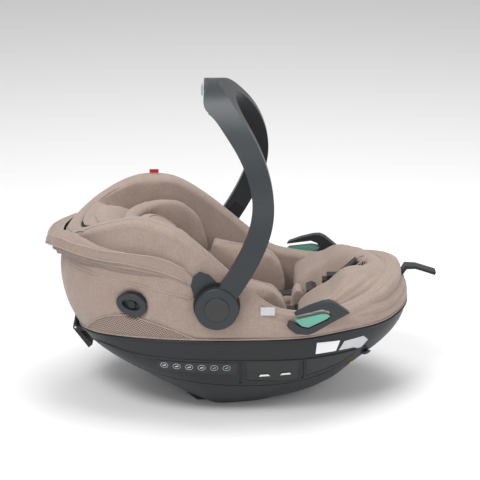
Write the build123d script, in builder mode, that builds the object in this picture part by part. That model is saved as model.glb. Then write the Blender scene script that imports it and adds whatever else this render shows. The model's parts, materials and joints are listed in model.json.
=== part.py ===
from build123d import *
import os
from math import atan2, copysign, cos, degrees, pi, radians, sin

os.makedirs("parts", exist_ok=True)

# Infant car seat, millimetres. +X points to the child's feet, +Z up, the child's left is +Y.
# The origin is on the floor, in the middle of the skid that the seat stands on.

# ---- driving dimensions -------------------------------------------------------------------
HUB_X, HUB_Z = -43.0, 225.0          # handle pivot, on both sides
HALF_WIDTH = 220.0                   # outer face of the hub badge
PLAN_POWER = 2.3                     # squareness of the seat seen from above
GAP = 1.0                            # clearance between neighbouring pieces

SHELL_WALL = 4.0
COVER_WALL = 8.0
FOAM_OUT, FOAM_IN = 9.5, 24.0        # foam hull, measured in from the outer surface
FOAM_LAYER = 26.0                    # foam under the seat, measured upright
LINING_OUT, LINING_IN = 25.0, 33.0   # padded lining of the bucket

# height, head end, foot end, half width of the boat-shaped body
LEVELS = [
    (0.0, -70.0, 95.0, 98.0),
    (14.0, -97.0, 135.0, 120.0),
    (35.0, -140.0, 183.0, 144.0),
    (62.0, -192.0, 214.0, 165.0),
    (90.0, -243.0, 247.0, 181.0),
    (120.0, -284.0, 280.0, 191.0),
    (171.0, -312.0, 306.0, 196.0),
    (230.0, -325.0, 292.0, 197.0),
    (290.0, -322.0, 260.0, 188.0),
    (340.0, -303.0, 215.0, 172.0),
    (395.0, -278.0, 150.0, 146.0),
]

# side-view lines (X, Z)
RUNNER_SEAM = [(-330, 138), (-277, 118), (-181, 87), (-73, 68), (60, 58), (160, 72), (238, 112), (330, 172)]
SHELL_RIM = [(-340, 125), (-298, 136), (-281, 144), (-252, 150), (-215, 155), (-143, 159), (-2, 159), (112, 158),
             (184, 163), (259, 165), (291, 172), (340, 184)]
WING_EDGE = [(-350, 288), (-300, 315), (-256, 345), (-188, 368), (-138, 361), (-96, 341), (-61, 316),
             (-25, 284), (17, 247), (60, 214), (110, 203), (180, 204), (240, 220), (300, 240), (340, 246)]

BACK_TOP, BACK_FOOT = (-275.0, 335.0), (30.0, 132.0)    # foam backrest line
SEAT_LINE = [(-350, 335), BACK_TOP, BACK_FOOT, (85, 116), (120, 130), (166, 190), (340, 190)]
RECLINE = degrees(atan2(BACK_TOP[1] - BACK_FOOT[1], BACK_FOOT[0] - BACK_TOP[0]))

PIN_X, PIN_Z = -70.0, 265.0          # canopy pivot pins


# ---- helpers ------------------------------------------------------------------------------
def save(piece, name):
    """Label one finished piece and write its STEP file."""
    piece.label = name
    export_step(piece, f"parts/{name}.step")


def save_pair(piece, name):
    """Write a piece modelled on the child's right, and its mirror image on the left."""
    save(piece, name + "_right")
    save(mirror(piece, about=Plane.XZ), name + "_left")


def save_group(piece, name):
    """Write two identical pieces, one on each side, as one group of separate solids."""
    save(Part() + piece + mirror(piece, about=Plane.XZ), name)


def egg_points(rear, front, half_width, count=24):
    """Points of a super-ellipse plan outline, centred on the hub's X."""
    points = []
    for step in range(count):
        turn = 2 * pi * step / count
        reach = front - HUB_X if cos(turn) > 0 else HUB_X - rear
        x = HUB_X + reach * copysign(abs(cos(turn)) ** (2 / PLAN_POWER), cos(turn))
        y = half_width * copysign(abs(sin(turn)) ** (2 / PLAN_POWER), sin(turn))
        points.append((x, y))
    return points


def hull(inset):
    """Boat-shaped body, lofted through its plan outlines drawn in by the inset."""
    with BuildPart() as body:
        for height, rear, front, half_width in LEVELS:
            with BuildSketch(Plane.XY.offset(height)):
                with BuildLine():
                    Spline(*egg_points(rear + inset, front - inset, half_width - inset), periodic=True)
                make_face()
        loft()
    return body.part


def egg_block(rear, front, half_width, low, high):
    """Upright block with an egg plan outline."""
    with BuildPart() as block:
        with BuildSketch(Plane.XY.offset(low)):
            with BuildLine():
                Spline(*egg_points(rear, front, half_width), periodic=True)
            make_face()
        extrude(amount=high - low)
    return block.part


def shifted(points, rise):
    return [(x, z + rise) for x, z in points]


def side_region(points, level, smooth=True):
    """Everything between a side-view line and a level, right across the seat."""
    with BuildPart() as region:
        with BuildSketch(Plane.XZ):
            with BuildLine():
                line = Spline(*points) if smooth else Polyline(*points)
                Polyline(line @ 1, (points[-1][0], level), (points[0][0], level), line @ 0)
            make_face()
        extrude(amount=260, both=True)
    return region.part


def side_plate(points, y_low, y_high, smooth=False):
    """Closed side-view outline, solid between two Y values."""
    with BuildPart() as plate:
        with BuildSketch(Plane.XZ.offset(-y_high)):
            with BuildLine():
                if smooth:
                    Spline(*points, periodic=True)
                else:
                    Polyline(*points, close=True)
            make_face()
        extrude(amount=y_high - y_low)
    return plate.part


def cross_cylinder(x, z, radius, y_low, y_high):
    """Cylinder along Y."""
    with BuildPart() as cylinder:
        with BuildSketch(Plane.XZ.offset(-y_high)):
            with Locations((x, z)):
                Circle(radius)
        extrude(amount=y_high - y_low)
    return cylinder.part


def both_sides(piece):
    return [piece, mirror(piece, about=Plane.XZ)]


# ---- shared spaces ------------------------------------------------------------------------
HOUSING_RADIUS = 41.0
HOUSING_FACE = 198.0                 # outer |Y| of the hub housing
HOUSING_ROOT = 174.0

outer_hull = hull(0.0)
pan_hull = hull(SHELL_WALL)
foam_hull = hull(FOAM_OUT)
foam_core = hull(FOAM_IN)
bucket_hull = hull(LINING_IN)
above_seam = side_region(RUNNER_SEAM, 500)
below_wing = side_region(WING_EDGE, -50)
below_lid = side_region(shifted(WING_EDGE, -COVER_WALL), -50)
above_seat = side_region(SEAT_LINE, 500, smooth=False)
housing_bore = cross_cylinder(HUB_X, HUB_Z, HOUSING_RADIUS + GAP, -240, 240)


# ---- lower shell and rocker base ----------------------------------------------------------
SKID_X = (-97.0, 20.0)
SKID_HALF = 84.0

with BuildPart() as lower_shell:
    add(outer_hull)
    add(above_seam, mode=Mode.INTERSECT)
    add(side_region(SHELL_RIM, -50), mode=Mode.INTERSECT)

with BuildPart() as rocker_base:
    add(outer_hull)
    add(side_region(shifted(RUNNER_SEAM, -GAP), -50), mode=Mode.INTERSECT)
    add(hull(14.0), mode=Mode.SUBTRACT)
    with BuildSketch(Plane.XY.offset(-1)):
        with Locations((SKID_X[0] + 48, 0)):
            Rectangle(140, 2 * (SKID_HALF + GAP))
    extrude(amount=47, mode=Mode.SUBTRACT)

# Four screws hold the docking frame to the rocker base, their heads sunk from below.
SCREW_PLACES = [(40, 78), (40, -78), (60, 64), (60, -64)]
HEAD_BOTTOM, HEAD_TOP, SCREW_TOP = 1.5, 4.5, 18.0


def screw_stack(head_radius, shank_radius, low, shoulder, high):
    """A head and a shank at each screw place."""
    with BuildPart() as stack:
        for radius, start, end in ((head_radius, low, shoulder), (shank_radius, shoulder, high)):
            with BuildSketch(Plane.XY.offset(start)):
                with Locations(*SCREW_PLACES):
                    Circle(radius)
            extrude(amount=end - start)
    return stack.part


with BuildPart() as screw_holes:
    add(screw_stack(4.6, 2.2, -1, HEAD_TOP + 0.3, SCREW_TOP + GAP))

with BuildPart() as base_screws:
    add(screw_stack(3.8, 2.0, HEAD_BOTTOM, HEAD_TOP, SCREW_TOP))
    with BuildSketch(Plane.XY.offset(HEAD_BOTTOM)):
        with Locations(*SCREW_PLACES):
            RegularPolygon(1.8, 6)
    extrude(amount=1.6, mode=Mode.SUBTRACT)
save(base_screws.part, "base_screws")

# The docking frame carries the flat skid and the two bars that a car base hooks on to.
BAR_RADIUS, BAR_HALF = 5.0, 66.0
BARS = [(-50.0, 17.0), (85.0, 22.0)]
BAR_SLOT, SLOT_HALF, SLOT_TOP = 24.0, 58.0, 34.0


def bar_slots(clearance):
    """The upright slots round the two docking bars."""
    slots = Part()
    for bar_x, bar_z in BARS:
        reach = BAR_SLOT / 2 + clearance
        outline = [(bar_x - reach, -1), (bar_x + reach, -1), (bar_x + reach, SLOT_TOP), (bar_x - reach, SLOT_TOP)]
        slots += side_plate(outline, -SLOT_HALF - clearance, SLOT_HALF + clearance)
    return slots


with BuildPart() as drilled_base:
    add(rocker_base.part)
    add(screw_holes.part, mode=Mode.SUBTRACT)
    add(bar_slots(GAP), mode=Mode.SUBTRACT)
save(drilled_base.part, "rocker_base")

with BuildPart() as frame_space:
    add(hull(15.0))
    add(side_plate([(-140, -5), (21, -5), (21, 45), (-140, 45)], -SKID_HALF, SKID_HALF))

with BuildPart() as docking_frame:
    outline = [(-97, 13), (-80, 0), (20, 0), (28, 6), (118, 12), (140, 26), (140, 44), (-86, 44)]
    add(side_plate(outline, -SKID_HALF, SKID_HALF))
    add(frame_space.part, mode=Mode.INTERSECT)
    add(bar_slots(0), mode=Mode.SUBTRACT)
    for bar_x, bar_z in BARS:
        add(cross_cylinder(bar_x, bar_z, BAR_RADIUS + 0.1, -BAR_HALF - 1, BAR_HALF + 1), mode=Mode.SUBTRACT)
    add(side_plate([(-32, 10), (52, 15), (52, 50), (-32, 50)], -70, 70), mode=Mode.SUBTRACT)
    add(screw_holes.part, mode=Mode.SUBTRACT)
save(docking_frame.part, "docking_frame")

with BuildPart() as docking_bars:
    for bar_x, bar_z in BARS:
        add(cross_cylinder(bar_x, bar_z, BAR_RADIUS, -BAR_HALF, BAR_HALF))
save(docking_bars.part, "docking_bars")

# ---- padded shell -------------------------------------------------------------------------
STRAP_CHANNEL = side_plate([(250, 214), (330, 214), (330, 227), (250, 227)], -14, 14)

# Belt guides: hook-shaped, toed in to follow the shell, with a slot that opens to the rear.
GUIDE_X, GUIDE_Y = 134.0, -190.0
GUIDE_TOE = 10.0
GUIDE_THICK = 15.0
GUIDE_OUTLINE = [(190, 207), (156, 190), (128, 175), (116, 171), (94, 174), (80, 186), (86, 200), (96, 212),
                 (120, 222), (144, 229), (156, 230), (166, 226)]
GUIDE_SLOT = [(70, 204), (97, 209), (140, 217), (152, 213), (158, 204), (150, 196), (116, 182.5), (103, 185.5),
              (92, 193), (70, 200)]
INLAY_OUTLINE = [(93, 198), (97, 201), (140, 208), (150, 207), (156, 203.5), (149, 197.5), (116, 184),
                 (104, 187)]
guide_plane = Plane(origin=(GUIDE_X, GUIDE_Y, 0),
                    x_dir=(cos(radians(GUIDE_TOE)), sin(radians(GUIDE_TOE)), 0),
                    z_dir=(sin(radians(GUIDE_TOE)), -cos(radians(GUIDE_TOE)), 0))


def guide_plate(points, half_thickness, grow=0.0):
    """Plate in the belt guide's own plane, from a side-view outline."""
    with BuildPart() as plate:
        with BuildSketch(guide_plane):
            with BuildLine():
                Polyline(*[(x - GUIDE_X, z) for x, z in points], close=True)
            make_face()
            if grow:
                offset(amount=grow)
        extrude(amount=half_thickness, both=True)
    return plate.part


guide_room = guide_plate(GUIDE_OUTLINE, GUIDE_THICK / 2 + GAP, grow=GAP)

# Oval socket for a side-impact pod, square to the tapering side of the shell.
SOCKET_X, SOCKET_Y, SOCKET_Z = -192.0, -177.5, 221.0
SOCKET_TURN = 19.0
SOCKET_TILT = -8.0
SOCKET_SIZE = (57.0, 41.0)
socket_plane = Plane(origin=(SOCKET_X, SOCKET_Y, SOCKET_Z),
                     x_dir=(cos(radians(SOCKET_TURN)), -sin(radians(SOCKET_TURN)), 0),
                     z_dir=(-sin(radians(SOCKET_TURN)), -cos(radians(SOCKET_TURN)), 0))


def socket_oval(shrink, low, high):
    """Tilted oval block, between two heights above the socket plane."""
    with BuildPart() as block:
        with BuildSketch(socket_plane.offset(low)):
            Ellipse(SOCKET_SIZE[0] / 2 - shrink, SOCKET_SIZE[1] / 2 - shrink, rotation=SOCKET_TILT)
        extrude(amount=high - low)
    return block.part


socket_room = socket_oval(-GAP, -20, 20)

with BuildPart() as side_cover:
    add(outer_hull)
    add(side_region(shifted(SHELL_RIM, GAP), 500), mode=Mode.INTERSECT)
    add(below_wing, mode=Mode.INTERSECT)
    add(hull(COVER_WALL) & below_lid, mode=Mode.SUBTRACT)
    add(bucket_hull, mode=Mode.SUBTRACT)
    add(housing_bore, mode=Mode.SUBTRACT)
    add(both_sides(guide_room), mode=Mode.SUBTRACT)
    add(both_sides(socket_room), mode=Mode.SUBTRACT)
    add(STRAP_CHANNEL, mode=Mode.SUBTRACT)
save(side_cover.part, "side_cover")

with BuildPart() as foam_liner:
    add(foam_hull)
    add(side_region(shifted(WING_EDGE, -COVER_WALL - GAP), -50), mode=Mode.INTERSECT)
    add(side_region(shifted(RUNNER_SEAM, SHELL_WALL + 2 * GAP), 500), mode=Mode.INTERSECT)
    add(foam_core & above_seat, mode=Mode.SUBTRACT)
    add(foam_core & side_region(shifted(SEAT_LINE, -FOAM_LAYER), -50, smooth=False), mode=Mode.SUBTRACT)
    add(housing_bore, mode=Mode.SUBTRACT)
    add(both_sides(guide_room), mode=Mode.SUBTRACT)
    add(both_sides(socket_room), mode=Mode.SUBTRACT)
    add(STRAP_CHANNEL, mode=Mode.SUBTRACT)

# The liner is moulded in four blocks: head end, foot end and the two sides.
FOAM_HEAD, FOAM_FOOT = -185.0, 112.0
foam_sides = [(FOAM_HEAD + 0.5, 0), (FOAM_FOOT - 0.5, 0), (FOAM_FOOT - 0.5, 450), (FOAM_HEAD + 0.5, 450)]
save(foam_liner.part & side_plate([(-350, 0), (FOAM_HEAD, 0), (FOAM_HEAD, 450), (-350, 450)], -250, 250),
     "foam_head")
save(foam_liner.part & side_plate([(FOAM_FOOT, 0), (350, 0), (350, 450), (FOAM_FOOT, 450)], -250, 250),
     "foam_foot")
save_pair(foam_liner.part & side_plate(foam_sides, -250, -0.5), "foam_side")

with BuildPart() as bucket_lining:
    add(hull(LINING_OUT))
    add(side_region(shifted(WING_EDGE, -COVER_WALL - GAP), -50), mode=Mode.INTERSECT)
    add(side_region(shifted(SEAT_LINE, GAP), 500, smooth=False), mode=Mode.INTERSECT)
    add(bucket_hull, mode=Mode.SUBTRACT)
    add(side_plate([(-330, 0), (112, 0), (112, 450), (-330, 450)], -250, 250), mode=Mode.INTERSECT)
save(bucket_lining.part, "bucket_lining")

PAD_RISE = 17.0                      # top of the seat pad above the foam, measured upright
inner_hull = hull(LINING_IN + GAP)

with BuildPart() as seat_pad:
    add(inner_hull)
    add(side_region(shifted(SEAT_LINE, GAP), 500, smooth=False), mode=Mode.INTERSECT)
    add(side_region(shifted(SEAT_LINE, PAD_RISE), 500, smooth=False), mode=Mode.SUBTRACT)
    add(side_plate([(-330, 0), (112, 0), (112, 450), (-330, 450)], -250, 250), mode=Mode.INTERSECT)
save(seat_pad.part, "seat_pad")

with BuildPart() as leg_space:
    add(inner_hull & side_region(shifted(SEAT_LINE, GAP), 500, smooth=False))
    add(side_region(shifted(WING_EDGE, GAP), 500) & hull(3.0))

with BuildPart() as leg_cover:
    outline = [(114, 120), (114, 142), (150, 180), (178, 216), (206, 250), (228, 267), (250, 270), (276, 257),
               (292, 243), (304, 225), (304, 120)]
    add(side_plate(outline, -150, 150))
    add(leg_space.part, mode=Mode.INTERSECT)
    add(side_plate([(100, 100), (152, 100), (152, 300), (100, 300)], -27, 27), mode=Mode.SUBTRACT)
    add(side_plate([(150, 188), (184, 188), (186, 204), (222, 240), (222, 300), (150, 300)], -13, 13),
        mode=Mode.SUBTRACT)
    add(both_sides(guide_room), mode=Mode.SUBTRACT)
    add(STRAP_CHANNEL, mode=Mode.SUBTRACT)
save(leg_cover.part, "leg_cover")

# ---- trim on the lower shell --------------------------------------------------------------
# Curved plates that follow the shell: a dark window, a textured panel and two blank labels.
WINDOW = [(10, 74), (92, 62), (104, 68), (104, 113), (8, 116)]
TEXTURED = [(116, 72), (178, 88), (204, 108), (206, 117), (116, 112)]
LABEL_PALE = [(134, 146), (176, 145), (169, 124), (132, 123)]
LABEL_GREY = [(184, 142), (219, 145), (228, 134), (214, 116), (202, 124), (174, 124)]
GROOVES = [(-4, 1), (108, 112)]
LEVER_X, LEVER_Z = -301.0, 134.0     # hinge of the lever under the head end

recess_ring = outer_hull - hull(1.8)
panel_ring = hull(0.5) - hull(1.4)
label_ring = hull(-0.6) - hull(-0.1)


def right_plate(points):
    return side_plate(points, -230, -90)


def both_plates(points):
    return side_plate(points, -230, 230)


def shrunk(points, amount):
    """Outline drawn in towards its centre by a small amount."""
    middle_x = sum(x for x, z in points) / len(points)
    middle_z = sum(z for x, z in points) / len(points)
    return [(x - copysign(amount, x - middle_x), z - copysign(amount, z - middle_z)) for x, z in points]


with BuildPart() as trimmed_shell:
    add(lower_shell.part)
    for outline in (WINDOW, TEXTURED):
        add(recess_ring & both_plates(outline), mode=Mode.SUBTRACT)
    for groove_from, groove_to in GROOVES:
        groove = [(groove_from, 66), (groove_to, 66), (groove_to, 116), (groove_from, 116)]
        add(recess_ring & both_plates(groove), mode=Mode.SUBTRACT)
    with Locations((-289.5, 58, LEVER_Z - 2.5), (-289.5, -58, LEVER_Z - 2.5)):
        Box(23, 6, 9)
    with Locations((LEVER_X, 58, LEVER_Z), (LEVER_X, -58, LEVER_Z)):
        Cylinder(4.5, 6, rotation=(90, 0, 0))
    with Locations((LEVER_X, 0, LEVER_Z)):
        Cylinder(2.1, 130, rotation=(90, 0, 0), mode=Mode.SUBTRACT)
    add(pan_hull & side_region(shifted(RUNNER_SEAM, SHELL_WALL), 500), mode=Mode.SUBTRACT)
save(trimmed_shell.part, "lower_shell")

save_group(panel_ring & right_plate(shrunk(WINDOW, 0.5)), "adapter_windows")
save_group(panel_ring & right_plate(shrunk(TEXTURED, 0.5)), "textured_panels")
save(label_ring & right_plate(LABEL_PALE), "label_pale")
save(label_ring & right_plate(LABEL_GREY), "label_grey")

# Lever under the head end that frees the seat from a car base.

with BuildPart() as base_lever:
    add(side_plate([(-304, 132), (-298, 130), (-271, 97), (-278, 91), (-305, 128)], -53, 53))
    add(cross_cylinder(LEVER_X, LEVER_Z, 4.6, -53, 53))
    add(cross_cylinder(LEVER_X, LEVER_Z, 2.06, -60, 60), mode=Mode.SUBTRACT)
save(base_lever.part, "base_lever")
save(cross_cylinder(LEVER_X, LEVER_Z, 2.0, -61, 61), "lever_pin")

# ---- handle -------------------------------------------------------------------------------
AXLE_RADIUS = 5.0
RUNNING_FIT = 0.06
EYE_FACE, EYE_ROOT = 214.5, 199.0
POCKET_ROOT = 185.0
BOW_WIDTH = 37.0
BOW_LINE = [(HUB_X, HUB_Z), (-8, 278), (20, 330), (35, 375), (37, 418), (28, 458), (8, 500), (-16, 533),
            (-36, 555), (-48, 563)]
ARCH_OUT = [(0, 579), (40, 575), (80, 563), (124, 534), (160, 495), (184, 455), (200, 418), (209, 385),
            (214.5, 345), (216.5, 300), (216.5, 170)]
ARCH_IN = [(0, 552), (36, 549), (70, 540), (108, 516), (141, 481), (163, 446), (179, 412), (189, 380),
           (196, 342), (199, 300), (199, 170)]


def mirrored_line(points):
    return [(-y, z) for y, z in points[::-1]] + points[1:]


with BuildPart() as arch:
    with BuildSketch(Plane.YZ.offset(-120)):
        with BuildLine():
            outer_line = Spline(*mirrored_line(ARCH_OUT))
            inner_line = Spline(*mirrored_line(ARCH_IN))
            Line(outer_line @ 0, inner_line @ 0)
            Line(outer_line @ 1, inner_line @ 1)
        make_face()
    extrude(amount=220)

with BuildPart() as handle_bow:
    with BuildSketch(Plane.XZ):
        with BuildLine():
            Spline(*BOW_LINE)
        trace(line_width=BOW_WIDTH)
        with Locations((HUB_X, HUB_Z)):
            Circle(37)
        with Locations((-48, 563)):
            Circle(17)
    extrude(amount=240, both=True)
    add(arch.part, mode=Mode.INTERSECT)
    for y_low, y_high in ((EYE_FACE, 240), (-240, -EYE_FACE)):
        add(cross_cylinder(HUB_X, HUB_Z, 38.6, y_low, y_high), mode=Mode.SUBTRACT)
    add(cross_cylinder(HUB_X, HUB_Z, AXLE_RADIUS + RUNNING_FIT, -240, 240), mode=Mode.SUBTRACT)
save(handle_bow.part, "handle_bow")

# Dished cap over each eye of the bow, with a blank badge in its middle.
CAP_FACE = 218.6

with BuildPart() as hub_cap:
    with BuildSketch(Plane.XZ.offset(EYE_FACE + 0.4)):
        with Locations((HUB_X, HUB_Z)):
            Circle(38)
    extrude(amount=CAP_FACE - EYE_FACE - 0.4)
    fillet(hub_cap.faces().sort_by(Axis.Y)[0].edges(), 2.8)
    add(cross_cylinder(HUB_X, HUB_Z, 22.2, -240, -CAP_FACE + 1.6), mode=Mode.SUBTRACT)
save_group(hub_cap.part, "hub_caps")

with BuildPart() as hub_badge:
    with BuildSketch(Plane.XZ.offset(CAP_FACE - 1.4)):
        with Locations((HUB_X, HUB_Z)):
            Circle(21.8)
    extrude(amount=HALF_WIDTH - CAP_FACE + 1.4)
    fillet(hub_badge.faces().sort_by(Axis.Y)[0].edges(), 1.0)
save_group(hub_badge.part, "hub_badges")

save_group(cross_cylinder(HUB_X, HUB_Z, AXLE_RADIUS, -EYE_FACE + 0.2, -HOUSING_ROOT - 3), "pivot_axles")

# Hub housing fixed in the shell, with the pocket of the lock gear.
GEAR_RADIUS, GEAR_TEETH = 25.0, 16
GEAR_FACE, GEAR_THICK = 197.0, 7.0
GEAR_TRAVEL = 4.0

with BuildPart() as hub_housing:
    add(cross_cylinder(HUB_X, HUB_Z, HOUSING_RADIUS, -HOUSING_FACE, -HOUSING_ROOT))
    add(cross_cylinder(HUB_X, HUB_Z, GEAR_RADIUS + 3, -240, -POCKET_ROOT), mode=Mode.SUBTRACT)
    add(cross_cylinder(HUB_X, HUB_Z, AXLE_RADIUS + RUNNING_FIT, -240, -100), mode=Mode.SUBTRACT)
save_pair(hub_housing.part, "hub_housing")

with BuildPart() as lock_gear:
    add(cross_cylinder(HUB_X, HUB_Z, GEAR_RADIUS - 3, -GEAR_FACE, -GEAR_FACE + GEAR_THICK))
    with BuildSketch(Plane.XZ.offset(GEAR_FACE - GEAR_THICK)):
        with Locations((HUB_X, HUB_Z)):
            with PolarLocations(GEAR_RADIUS - 2.5, GEAR_TEETH):
                Rectangle(5, 4)
    extrude(amount=GEAR_THICK)
    add(cross_cylinder(HUB_X, HUB_Z, AXLE_RADIUS + 0.6, -240, -100), mode=Mode.SUBTRACT)
save_pair(lock_gear.part, "lock_gear")

# Release button let into the inner face of each handle leg.
BUTTON_X, BUTTON_Z = -8.0, 272.0
BUTTON_TURN = -54.0
BUTTON_SIZE = (30.0, 20.0)
BUTTON_TRAVEL = 3.0


def leg_block(width, height, low, high):
    """Block square to the handle leg, between two |Y| values on the child's right."""
    with BuildPart() as block:
        with BuildSketch(Plane.XZ.offset(low)):
            with Locations((BUTTON_X, BUTTON_Z)):
                RectangleRounded(width, height, 4, rotation=-BUTTON_TURN)
        extrude(amount=high - low)
    return block.part


with BuildPart() as fitted_bow:
    add(handle_bow.part)
    add(both_sides(leg_block(BUTTON_SIZE[0] + 1, BUTTON_SIZE[1] + 1, 190, 209)), mode=Mode.SUBTRACT)
save(fitted_bow.part, "handle_bow")
save_pair(leg_block(BUTTON_SIZE[0], BUTTON_SIZE[1], 198.6, 205), "release_button")

# Grey index tab on the rear of the grip.
TAB = [(-69.5, 556), (-66.2, 553), (-66.2, 575), (-69.5, 572)]
save(side_plate(TAB, -8, 8), "grip_tab")

# ---- belt guides and side sockets ---------------------------------------------------------
with BuildPart() as belt_guide:
    add(guide_plate(GUIDE_OUTLINE, GUIDE_THICK / 2))
    add(guide_plate(GUIDE_SLOT, 20), mode=Mode.SUBTRACT)
save_pair(belt_guide.part, "belt_guide")
save_group(guide_plate(shrunk(INLAY_OUTLINE, 0.3), GUIDE_THICK / 2 - 1.5), "guide_inlays")

with BuildPart() as socket_bezel:
    add(socket_oval(0, -9, 4))
    fillet(socket_bezel.faces().sort_by(Axis.Y)[0].edges(), 2.5)
    add(socket_oval(11, -4, 10), mode=Mode.SUBTRACT)
    with BuildSketch(socket_plane.offset(-12)):
        Circle(7.3)
    extrude(amount=30, mode=Mode.SUBTRACT)
save_pair(socket_bezel.part, "socket_bezel")

with BuildPart() as socket_button:
    with BuildSketch(socket_plane.offset(-8.5)):
        Circle(7.0)
    extrude(amount=9.5)
save_pair(socket_button.part, "socket_button")

# ---- folded canopy ------------------------------------------------------------------------
# Three stacked folds wrap round the head end and turn about the pins beside the hubs.
CANOPY_REAR, CANOPY_HALF = -346.0, 194.6
BAND_LOW = [(-66, 240), (-81, 254), (-106, 270), (-141, 282), (-193, 293), (-246, 295), (-300, 299), (-370, 302)]
BAND_HIGH = [(-66, 262), (-80, 275), (-100, 293), (-141, 311), (-193, 316), (-246, 316), (-300, 319), (-370, 322)]
FOLD_DROP = 15.0
canopy_core = hull(-1.6)


def canopy_fold(low, high, reach):
    """Horseshoe of folded fabric round the head end, between two side-view lines."""
    with BuildPart() as fold:
        add(egg_block(CANOPY_REAR + reach, 262, CANOPY_HALF - reach / 6, 200, 350))
        add(side_region(low, 500), mode=Mode.INTERSECT)
        add(side_region(high, 0), mode=Mode.INTERSECT)
        add(side_plate([(-400, 0), (-90, 0), (-90, 500), (-400, 500)], -300, 300), mode=Mode.INTERSECT)
        add(canopy_core, mode=Mode.SUBTRACT)
    return fold.part


with BuildPart() as canopy_rear_panel:
    for height, reach in ((320, 4), (336, 18), (352, 40)):
        with BuildSketch(Plane.XY.offset(height)):
            with BuildLine():
                Spline(*egg_points(CANOPY_REAR + reach, 262, CANOPY_HALF - 1.2 * reach), periodic=True)
            make_face()
    loft()
    for height, reach in ((320, 10), (336, 24), (352, 46)):
        with BuildSketch(Plane.XY.offset(height)):
            with BuildLine():
                Spline(*egg_points(CANOPY_REAR + reach, 262, CANOPY_HALF - 1.2 * reach), periodic=True)
            make_face()
    loft(mode=Mode.SUBTRACT)
    add(side_region(shifted(BAND_HIGH, 0.8), 500), mode=Mode.INTERSECT)
    add(side_plate([(-400, 0), (-225, 0), (-255, 500), (-400, 500)], -300, 300), mode=Mode.INTERSECT)
    add(canopy_core, mode=Mode.SUBTRACT)
save(canopy_rear_panel.part, "canopy_rear_panel")

save(canopy_fold(BAND_LOW, BAND_HIGH, 0), "canopy_front_fold")
save(canopy_fold(shifted(BAND_LOW, -FOLD_DROP), shifted(BAND_LOW, -0.8), 5), "canopy_middle_fold")
save(canopy_fold(shifted(BAND_LOW, -2 * FOLD_DROP), shifted(BAND_LOW, -FOLD_DROP - 0.8), 12), "canopy_lower_fold")

# Bracket beside each hub with the canopy's pivot pin, and the two bow ends that turn on it.
BRACKET = [(-84, 247), (-88, 262), (-84, 279), (-72, 288), (-56, 282), (-38, 262), (-38, 240), (-84, 240)]

with BuildPart() as canopy_bracket:
    add(side_plate(BRACKET, -198.2, -195.2))
    add(cross_cylinder(HUB_X, HUB_Z, HOUSING_RADIUS + 0.4, -240, -100), mode=Mode.SUBTRACT)
    add(cross_cylinder(PIN_X, PIN_Z, 3.06, -240, -100), mode=Mode.SUBTRACT)
save_pair(canopy_bracket.part, "canopy_bracket")

with BuildPart() as canopy_pin:
    add(cross_cylinder(PIN_X, PIN_Z, 3.0, -198.2, -194.5))
save_group(canopy_pin.part, "canopy_pins")

# ---- headrest -----------------------------------------------------------------------------
HEAD_ORIGIN = (-155.0, 0.0, 274.0)
HEAD_HALF_LOW, HEAD_HALF_TOP, HEAD_LENGTH, HEAD_HEIGHT = 102.0, 74.0, 150.0, 92.0
HEAD_ARC = [(-300, 262), (-262, 280), (-238, 292), (-204, 318), (-182, 329), (-159, 333), (-137, 334), (-111, 329),
            (-92, 315), (-77, 298), (-66, 266), (-58, 225), (-55, 180)]
head_plane = Plane(origin=HEAD_ORIGIN,
                   x_dir=(-cos(radians(RECLINE)), 0, sin(radians(RECLINE))),
                   z_dir=(sin(radians(RECLINE)), 0, cos(radians(RECLINE))))


def head_block(inset, low, high, open_end=0.0):
    """Tapered block standing on the backrest, narrower at the top of the head."""
    half = HEAD_LENGTH / 2
    flare = (HEAD_HALF_LOW - HEAD_HALF_TOP) / HEAD_LENGTH
    narrow = HEAD_HALF_TOP + flare * inset - inset
    wide = HEAD_HALF_LOW + flare * open_end - inset
    with BuildPart() as block:
        with BuildSketch(head_plane.offset(low)):
            with BuildLine():
                Polyline((half - inset, narrow), (-half - open_end, wide), (-half - open_end, -wide),
                         (half - inset, -narrow), close=True)
            make_face()
        extrude(amount=high - low)
    return block.part


with BuildPart() as headrest_core:
    add(head_block(0, 0, HEAD_HEIGHT))
    add(head_block(5, 5, HEAD_HEIGHT + 20, open_end=20), mode=Mode.SUBTRACT)
    add(side_region(shifted(HEAD_ARC, -5), 0), mode=Mode.INTERSECT)
save(headrest_core.part, "headrest_core")

with BuildPart() as headrest_cushion:
    add(head_block(6, 6, HEAD_HEIGHT))
    add(head_block(28, 22, HEAD_HEIGHT + 20, open_end=20), mode=Mode.SUBTRACT)
    add(side_region(HEAD_ARC, 0), mode=Mode.INTERSECT)
save(headrest_cushion.part, "headrest_cushion")

# ---- harness ------------------------------------------------------------------------------
def back_line(x, rise):
    """Height above the foam backrest at a given X."""
    slope = (BACK_FOOT[1] - BACK_TOP[1]) / (BACK_FOOT[0] - BACK_TOP[0])
    return BACK_TOP[1] + slope * (x - BACK_TOP[0]) + rise


PAD_FROM, PAD_TO = -68.0, 18.0
shoulder = [(PAD_FROM, back_line(PAD_FROM, 18.5)), (PAD_TO, back_line(PAD_TO, 18.5)),
            (PAD_TO, back_line(PAD_TO, 31)), (PAD_FROM, back_line(PAD_FROM, 31))]
strap = [(PAD_TO + 1, back_line(PAD_TO, 22)), (98, 160), (98, 162.5), (PAD_TO + 1, back_line(PAD_TO, 24.5))]
save_pair(side_plate(shoulder, -66, -24), "shoulder_pad")
save_group(side_plate(strap, -54, -30), "harness_straps")
save_group(side_plate([(99, 159), (121, 162), (121, 165), (99, 162)], -54, -24), "buckle_tongues")
save(side_plate([(92, 146), (117, 146), (121, 153), (118, 178), (112, 189), (103, 191), (97, 183)], -22, 22),
     "crotch_pad")

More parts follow.
